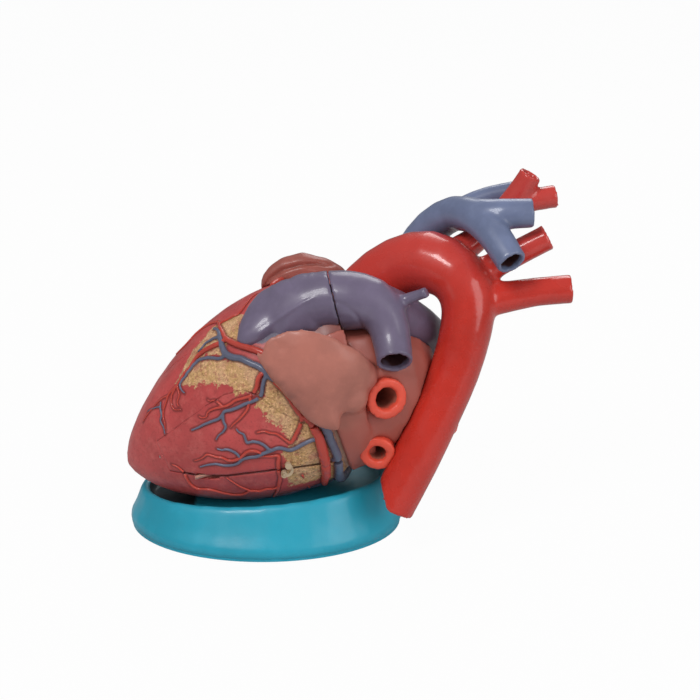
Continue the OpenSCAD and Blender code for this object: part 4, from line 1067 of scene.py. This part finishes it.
def make_tube(name, node, body, material, voxel, rounds=26, reach=46.0, keep=60.0):
    obj = moulded(name, [node], body, voxel, rounds, keep)
    mark_creases(obj)
    mark_inside(obj, reach)
    return painted(obj, paint(material))


def make_trunk(voxel):
    """Pulmonary trunk, whose root spreads over the front of the heart."""
    out = heart_point(137, 22, 1) - heart_point(137, 22, 0)
    along = heart_point(139, 20, 0) - heart_point(134, 25, 0)
    along /= np.linalg.norm(along)
    side = np.cross(along, out)
    root = ball(heart_point(139, 21, -1), (along, side / np.linalg.norm(side), out), (23, 18, 10))
    obj = moulded("pulmonary_trunk", ["pulmonary_trunk_root"], HEART_BODY, voxel, 40, extra=[root],
                  fade=(1.0, 9.0))
    fit_outline(obj, TRUNK_MIDDLE, TRUNK_LINE)
    rooted(obj, 3.0, 3.4)
    fold(obj, TRUNK_RIDGE, -0.9, 1.6)
    mark_creases(obj)
    mark_inside(obj, 46.0)
    painted(obj, paint("pulmonary"))


def ruffle(obj, size, amount, seed):
    """Soft lobes and folds, as on the auricles."""
    mesh = obj.data
    co, normals = points_of(mesh), normals_of(mesh)
    wave = fine_noise(co, size, seed) * amount + fine_noise(co, size * 0.45, seed + 5) * amount * 0.35
    move_points(mesh, co + normals * wave[:, None])


def remeshed(name, node, voxel, rounds):
    """A plain rounded copy of a CAD node."""
    obj = added(name, copied([node]))
    skin = obj.modifiers.new("Skin", "REMESH")
    skin.mode = "VOXEL"
    skin.voxel_size = voxel * MM
    smooth = obj.modifiers.new("Rounding", "SMOOTH")
    smooth.factor = 0.5
    smooth.iterations = rounds
    return settle(obj)


def make_left_atrium():
    """Left atrium with its auricle, its skirt over the ventricle and the root of the auricle by the trunk."""
    ear = remeshed("left_auricle_form", "left_auricle", 1.3, 12)
    fit_outline(ear, AURICLE_MIDDLE, AURICLE_LINE)
    for line in AURICLE_FOLDS:
        fold(ear, line, 0.9, 2.4)
    ways = (BASE_WAY, FRONT_WAY, LEFT_WAY)
    extra = [bmesh_of(ear), slab((162.4, 187.5), (84, 152), 1.4, 5.5), slab((168, 187.5), (48, 92), 1.0, 3.2),
             ball((64, -67.5, 129), ways, (13.5, 16, 11)), ball((74, -62, 140), ways, (11, 11, 9))]
    obj = moulded("left_atrium_wall", ["left_atrium"], UPPER_BODY, 1.4, 14, 200, extra=extra,
                  also=["left_auricle"])
    clear_of_heart(obj, 0.6)
    ruffle(obj, 17.0, 0.5, 2.0)
    mark_creases(obj, 6)
    mark_inside(obj, 40)
    painted(obj, paint("atrium"))


def make_right_auricle():
    obj = moulded("right_auricle_lobe", ["right_auricle"], UPPER_BODY, 1.3, 16, 70)
    ruffle(obj, 20.0, 1.1, 9.0)
    fold(obj, RIGHT_LIP_FOLD, 2.6, 2.0)
    mark_creases(obj, 6)
    painted(obj, paint("auricle"))


# ---------------------------------------------------------------- stage


def make_sky(strength):
    """Even light for the object, dimmer in its mirror images, and pure white for the camera."""
    scene = bpy.context.scene
    world = scene.world or bpy.data.worlds.new("Studio")
    scene.world = world
    world.use_nodes = True
    tree = world.node_tree
    tree.nodes.clear()
    rays = tree.nodes.new("ShaderNodeLightPath")
    plain, white = (tree.nodes.new("ShaderNodeBackground") for _ in range(2))
    dim = tree.nodes.new("ShaderNodeMapRange")
    dim.inputs[3].default_value, dim.inputs[4].default_value = strength, strength * 0.3
    tree.links.new(rays.outputs["Is Glossy Ray"], dim.inputs[0])
    tree.links.new(dim.outputs[0], plain.inputs["Strength"])
    white.inputs["Strength"].default_value = 1.0
    for node in (plain, white):
        node.inputs["Color"].default_value = (1, 1, 1, 1)
    seen = tree.nodes.new("ShaderNodeMath")
    seen.use_clamp = True
    tree.links.new(rays.outputs["Is Camera Ray"], seen.inputs[0])
    tree.links.new(rays.outputs["Is Transmission Ray"], seen.inputs[1])
    mix, out = tree.nodes.new("ShaderNodeMixShader"), tree.nodes.new("ShaderNodeOutputWorld")
    tree.links.new(seen.outputs[0], mix.inputs[0])
    tree.links.new(plain.outputs[0], mix.inputs[1])
    tree.links.new(white.outputs[0], mix.inputs[2])
    tree.links.new(mix.outputs[0], out.inputs["Surface"])


def make_lamps(stage):
    """Key lamp at the upper left, fill lamp at the right and rim lamp behind, all aimed at the heart."""
    middle = Vector((0.06, 0.0, 0.12))
    for name, place, size, power in (("key", (-0.5, -0.85, 1.45), 0.6, stage.key),
                                     ("fill", (1.2, -0.9, 0.7), 1.0, stage.fill),
                                     ("rim", (0.3, 1.2, 1.1), 0.9, stage.rim)):
        light = bpy.data.lights.new(name, "AREA")
        light.energy, light.size, light.shape = power, size, "DISK"
        lamp = bpy.data.objects.new(name, light)
        lamp.location = Vector(place)
        lamp.rotation_euler = (middle - lamp.location).to_track_quat("-Z", "Y").to_euler()
        bpy.context.scene.collection.objects.link(lamp)


def make_camera(stage):
    """The camera that takes the photo's view."""
    scene = bpy.context.scene
    tilt = stage.elevation
    camera = bpy.data.objects.new("camera", bpy.data.cameras.new("camera"))
    camera.data.sensor_width = SENSOR
    camera.data.lens = SENSOR * FOCAL / PICTURE
    camera.location = Vector(AIM * MM) - stage.distance * Vector((0, math.cos(tilt), -math.sin(tilt)))
    camera.rotation_euler = (math.pi / 2 - tilt, 0, 0)
    camera.data.clip_start, camera.data.clip_end = 0.05, 20
    scene.collection.objects.link(camera)
    scene.camera = camera


def make_stage():
    """Floor, sky, lamps and camera."""
    scene = bpy.context.scene
    shape = bmesh.new()
    bmesh.ops.create_grid(shape, x_segments=1, y_segments=1, size=4)
    floor = added("floor", shape)
    floor.data.materials.append(studio_white("Floor white", 0.97))
    make_sky(scene.heart_stage.sky)
    make_lamps(scene.heart_stage)
    make_camera(scene.heart_stage)
    scene.view_settings.view_transform = "Standard"


# ---------------------------------------------------------------- settings


def colour(name, description, value):
    return bpy.props.FloatVectorProperty(name=name, description=description, subtype="COLOR", size=4,
                                         min=0, max=1, default=(*value, 1))


class HeartColours(bpy.types.PropertyGroup):
    muscle: colour("Muscle", "Rose red of the ventricles", (0.54, 0.072, 0.07))
    muscle_light: colour("Muscle light", "Paler strokes over the muscle", (0.66, 0.16, 0.14))
    band: colour("Band", "Brown pink under the pulmonary trunk", (0.2, 0.065, 0.055))
    strip: colour("Strip", "Cream edge beside the coronary sinus", (0.8, 0.52, 0.4))
    lining: colour("Lining", "Pink of the insides of the chambers", (0.52, 0.2, 0.17))
    fat: colour("Fat", "Beige of the fat", (0.7, 0.415, 0.22))
    fat_gold: colour("Fat gold", "Yellower patches of the fat", (0.6, 0.355, 0.14))
    fat_blush: colour("Fat blush", "Reddish speckle in the fat", (0.46, 0.15, 0.11))
    fat_dark: colour("Fat dark", "Brown between the grains of fat", (0.2, 0.07, 0.03))
    artery: colour("Arteries", "Orange red of the coronary arteries", (0.5, 0.06, 0.042))
    vein: colour("Veins", "Slate blue of the coronary veins", (0.125, 0.135, 0.2))
    aorta: colour("Aorta", "Glossy red of the aorta", (0.55, 0.03, 0.018))
    pulmonary: colour("Pulmonary", "Grey violet of the pulmonary trunk", (0.165, 0.135, 0.21))
    cava: colour("Vena cava", "Slate blue of the great veins", (0.165, 0.2, 0.33))
    atrium: colour("Atria", "Salmon of the atria and auricles", (0.46, 0.165, 0.125))
    # Painted shade: a darker copy of the atria's salmon for the right auricle.
    auricle: colour("Right auricle", "Darker salmon of the right auricle", (0.34, 0.095, 0.075))
    ring: colour("Pulmonary veins", "Orange red of the vein rings", (0.82, 0.095, 0.055))
    ring_bore: colour("Vein bores", "Brown beige in the vein rings", (0.38, 0.12, 0.08))
    # Dark maroon in the bores of the cut vessels, darkened there as painted shade.
    inner_tone_and_shade: colour("Bores", "Dark maroon in the cut vessels", (0.05, 0.012, 0.012))
    valve: colour("Valves", "Cream of the valves", (0.72, 0.5, 0.36))
    fitting: colour("Fittings", "Cream of the hook and pegs", (0.5, 0.38, 0.25))
    tab: colour("Tongue", "Pink cream of the tongue in the seam", (0.5, 0.25, 0.19))
    stand: colour("Stand", "Cyan of the stand", (0.022, 0.365, 0.51))


def measure(name, description, value, low, high):
    """A length in the panel, from millimetres."""
    return bpy.props.FloatProperty(name=name, description=description, default=value * MM, min=low * MM,
                                   max=high * MM, unit="LENGTH", subtype="DISTANCE")


def lamp_power(name, description, value):
    return bpy.props.FloatProperty(name=name, description=description, default=value, min=0, max=100,
                                   unit="POWER")


class HeartSizes(bpy.types.PropertyGroup):
    wall_grain: measure("Wall grain", "Longest edge on the outside of the ventricles", 1.9, 1, 5)
    lining_grain: measure("Lining grain", "Longest edge inside the ventricles", 6, 2, 20)
    vessel_voxel: measure("Vessel grain", "Size of the faces of the great vessels", 1.4, 0.8, 3)
    proud: bpy.props.FloatProperty(name="Relief", description="Height of the coronary vessels over their radius",
                                   default=0.25, min=0, max=0.9, subtype="FACTOR")


class HeartStage(bpy.types.PropertyGroup):
    distance: measure("Camera distance", "From the camera to the heart", AWAY, 500, 5000)
    elevation: bpy.props.FloatProperty(name="Camera elevation", description="How far the camera looks down",
                                       default=LOOK_DOWN, min=0, max=1.5, unit="ROTATION", subtype="ANGLE")
    sky: bpy.props.FloatProperty(name="Sky", description="Strength of the even light", default=0.42,
                                 min=0, max=2)
    key: lamp_power("Key lamp", "Power of the lamp at the upper left", 13)
    fill: lamp_power("Fill lamp", "Power of the lamp at the right", 6)
    rim: lamp_power("Rim lamp", "Power of the lamp behind", 6)


# ---------------------------------------------------------------- operators


class HEART_OT_stand(bpy.types.Operator):
    """Stand with its rounded lip, foot plate, screws and pins"""
    bl_idname = "heart.stand"
    bl_label = "Stand"

    def execute(self, context):
        bowl = moulded("stand_moulding", ["stand_bowl"], STAND_BODY, 1.6, 24, 60)
        co = points_of(bowl.data)
        hidden = np.hypot(co[:, 0] / STAND_HOLLOW[0], co[:, 1] / STAND_HOLLOW[1]) < 1
        foot = np.clip((9 - co[:, 2]) / 6, 0, 1) * ~hidden
        co[:, 2] -= foot * STAND_FOOT_DROP
        move_points(bowl.data, co)
        mark_creases(bowl)
        # Painted shade inside the bowl, above 8 mm and growing towards its left end.
        dark = (hidden & (co[:, 2] > 8)) * np.clip((-38 - co[:, 0]) / 25, 0, 1)
        store(bowl.data, "inside", averaged(dark, edges_of(bowl.data), 1))
        painted(bowl, paint("stand"))
        for node, name in (("stand_base_plate", "stand"), ("stand_screws", "steel"), ("stand_pins", "steel")):
            painted(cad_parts[node], paint(name))
        return {"FINISHED"}


class HEART_OT_ventricles(bpy.types.Operator):
    """Ventricle body and its two walls, with fat and muscle relief"""
    bl_idname = "heart.ventricles"
    bl_label = "Ventricles"

    def execute(self, context):
        make_ventricles()
        return {"FINISHED"}


class HEART_OT_coronaries(bpy.types.Operator):
    """Coronary arteries and cardiac veins in relief"""
    bl_idname = "heart.coronaries"
    bl_label = "Coronary vessels"

    def execute(self, context):
        proud = context.scene.heart_sizes.proud
        make_vessels(ARTERIES, "arteries", "artery", ["coronary_arteries"], proud)
        make_vessels(VEINS, "veins", "vein", ["cardiac_veins"], proud)
        # Marks how far the walls lie from the vessels, for the painted shade beside them.
        outline_vessels(("ventricle_body", "left_wall_skin", "right_wall_skin"), *zip(*VESSELS))
        return {"FINISHED"}


class HEART_OT_inside(bpy.types.Operator):
    """Valves, cords, papillary muscles and septum"""
    bl_idname = "heart.inside"
    bl_label = "Inside of the heart"

    def execute(self, context):
        for name, node, slot, material, voxel in (
                ("septum_between_ventricles", "ventricular_septum", "muscle", "muscle", 1.6),
                ("valve_plate", "valve_plate_ring", "valve", "valve", 1.2),
                ("mitral_leaflets", "mitral_valve", "valve", "valve", 0.5),
                ("tricuspid_leaflets", "tricuspid_valve", "valve", "valve", 0.5),
                ("aortic_leaflets", "aortic_valve", "valve", "valve", 0.5),
                ("left_papillary", "left_papillary_muscles", "muscle", "muscle", 0.9),
                ("right_papillary", "right_papillary_muscles", "muscle", "muscle", 0.9)):
            obj = moulded(name, [node], HEART_BODY, voxel, 8)
            mark_creases(obj)
            painted(obj, paint(material))
            if material == "muscle":
                store(obj.data, "fat", np.full(len(obj.data.vertices), -12.0))
                store(obj.data, "inside", np.ones(len(obj.data.vertices)))
        for node in ("left_chords", "right_chords"):
            painted(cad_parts[node], paint("fitting"))
        return {"FINISHED"}


class HEART_OT_catch(bpy.types.Operator):
    """Closure hook, tongue, pins, pegs and magnets"""
    bl_idname = "heart.catch"
    bl_label = "Catch and fittings"

    def execute(self, context):
        tab = moulded("wall_tongue", ["left_wall_tongue"], LEFT_BODY, 0.45, 4)
        co = points_of(tab.data)
        level = (co - co.mean(0)) @ FRONT_WAY
        move_points(tab.data, co - np.outer(level * 0.5, FRONT_WAY))
        mark_creases(tab)
        painted(tab, paint("tab"))
        for node, name in (("closure_hook", "fitting"), ("atrial_pegs", "fitting"),
                           ("hook_catch_pin", "fitting"), ("hook_pivot_pin", "fitting"),
                           ("ventricle_magnets", "magnet"), ("left_wall_magnets", "magnet"),
                           ("right_wall_magnets", "magnet")):
            painted(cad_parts[node], paint(name))
        return {"FINISHED"}


class HEART_OT_great_vessels(bpy.types.Operator):
    """Aorta, pulmonary arteries and great veins"""
    bl_idname = "heart.great_vessels"
    bl_label = "Great vessels"

    def execute(self, context):
        voxel = context.scene.heart_sizes.vessel_voxel / MM
        make_trunk(voxel)
        make_tube("aorta_tube", "aorta", UPPER_BODY, "aorta", voxel)
        tubes = make_tube("pulmonary_tubes", "pulmonary_arteries", UPPER_BODY, "pulmonary",
                          voxel)
        fold(tubes, PULMONARY_FOLD, 0.8, 1.5)
        mark_creases(tubes)
        make_tube("upper_vena_cava", "superior_vena_cava", UPPER_BODY, "cava", voxel, 18, 30)
        make_tube("lower_vena_cava", "inferior_vena_cava", UPPER_BODY, "cava", voxel, 18, 30)
        rings = make_tube("left_vein_rings", "left_pulmonary_veins", UPPER_BODY, "ring", 0.9, 9, 24,
                          200)
        move_points(rings.data, points_of(rings.data) + normals_of(rings.data) * 0.8)
        make_tube("right_vein_rings", "right_pulmonary_veins", UPPER_BODY, "ring", 1.0, 14, 24)
        return {"FINISHED"}


class HEART_OT_atria(bpy.types.Operator):
    """Atria with their septum and the left auricle"""
    bl_idname = "heart.atria"
    bl_label = "Atria"

    def execute(self, context):
        make_left_atrium()
        for name, node in (("right_atrium_wall", "right_atrium"), ("septum_between_atria", "atrial_septum")):
            make_tube(name, node, UPPER_BODY, "atrium", 1.4, 20, 60)
        return {"FINISHED"}


class HEART_OT_auricle(bpy.types.Operator):
    """Right auricle with its thick lip"""
    bl_idname = "heart.auricle"
    bl_label = "Right auricle"

    def execute(self, context):
        make_right_auricle()
        return {"FINISHED"}


class HEART_OT_stage(bpy.types.Operator):
    """White floor, soft studio light and the camera"""
    bl_idname = "heart.stage"
    bl_label = "Stage"

    def execute(self, context):
        make_stage()
        return {"FINISHED"}


OPERATORS = (HEART_OT_stage, HEART_OT_stand, HEART_OT_ventricles, HEART_OT_coronaries, HEART_OT_inside,
             HEART_OT_catch, HEART_OT_great_vessels, HEART_OT_atria, HEART_OT_auricle)


class HEART_PT_panel(bpy.types.Panel):
    """Everything that builds the heart's looks"""
    bl_idname = "HEART_PT_panel"
    bl_label = "Take-apart heart"
    bl_space_type = "VIEW_3D"
    bl_region_type = "UI"
    bl_category = "Heart"

    def draw(self, context):
        layout = self.layout
        for operator in OPERATORS:
            layout.operator(operator.bl_idname)
        for group in (context.scene.heart_colours, context.scene.heart_sizes, context.scene.heart_stage):
            box = layout.box()
            for name in group.__annotations__:
                box.prop(group, name)


CLASSES = (HeartColours, HeartSizes, HeartStage, *OPERATORS, HEART_PT_panel)


def register():
    for cls in CLASSES:
        bpy.utils.register_class(cls)
    bpy.types.Scene.heart_colours = bpy.props.PointerProperty(type=HeartColours)
    bpy.types.Scene.heart_sizes = bpy.props.PointerProperty(type=HeartSizes)
    bpy.types.Scene.heart_stage = bpy.props.PointerProperty(type=HeartStage)


def unregister():
    for name in ("heart_colours", "heart_sizes", "heart_stage"):
        delattr(bpy.types.Scene, name)
    for cls in reversed(CLASSES):
        bpy.utils.unregister_class(cls)


def main():
    register()
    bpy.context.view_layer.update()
    bpy.ops.heart.stage()
    bpy.ops.heart.stand()
    bpy.ops.heart.ventricles()
    bpy.ops.heart.coronaries()
    bpy.ops.heart.inside()
    bpy.ops.heart.catch()
    bpy.ops.heart.great_vessels()
    bpy.ops.heart.atria()
    bpy.ops.heart.auricle()


if __name__ == "__main__":
    main()
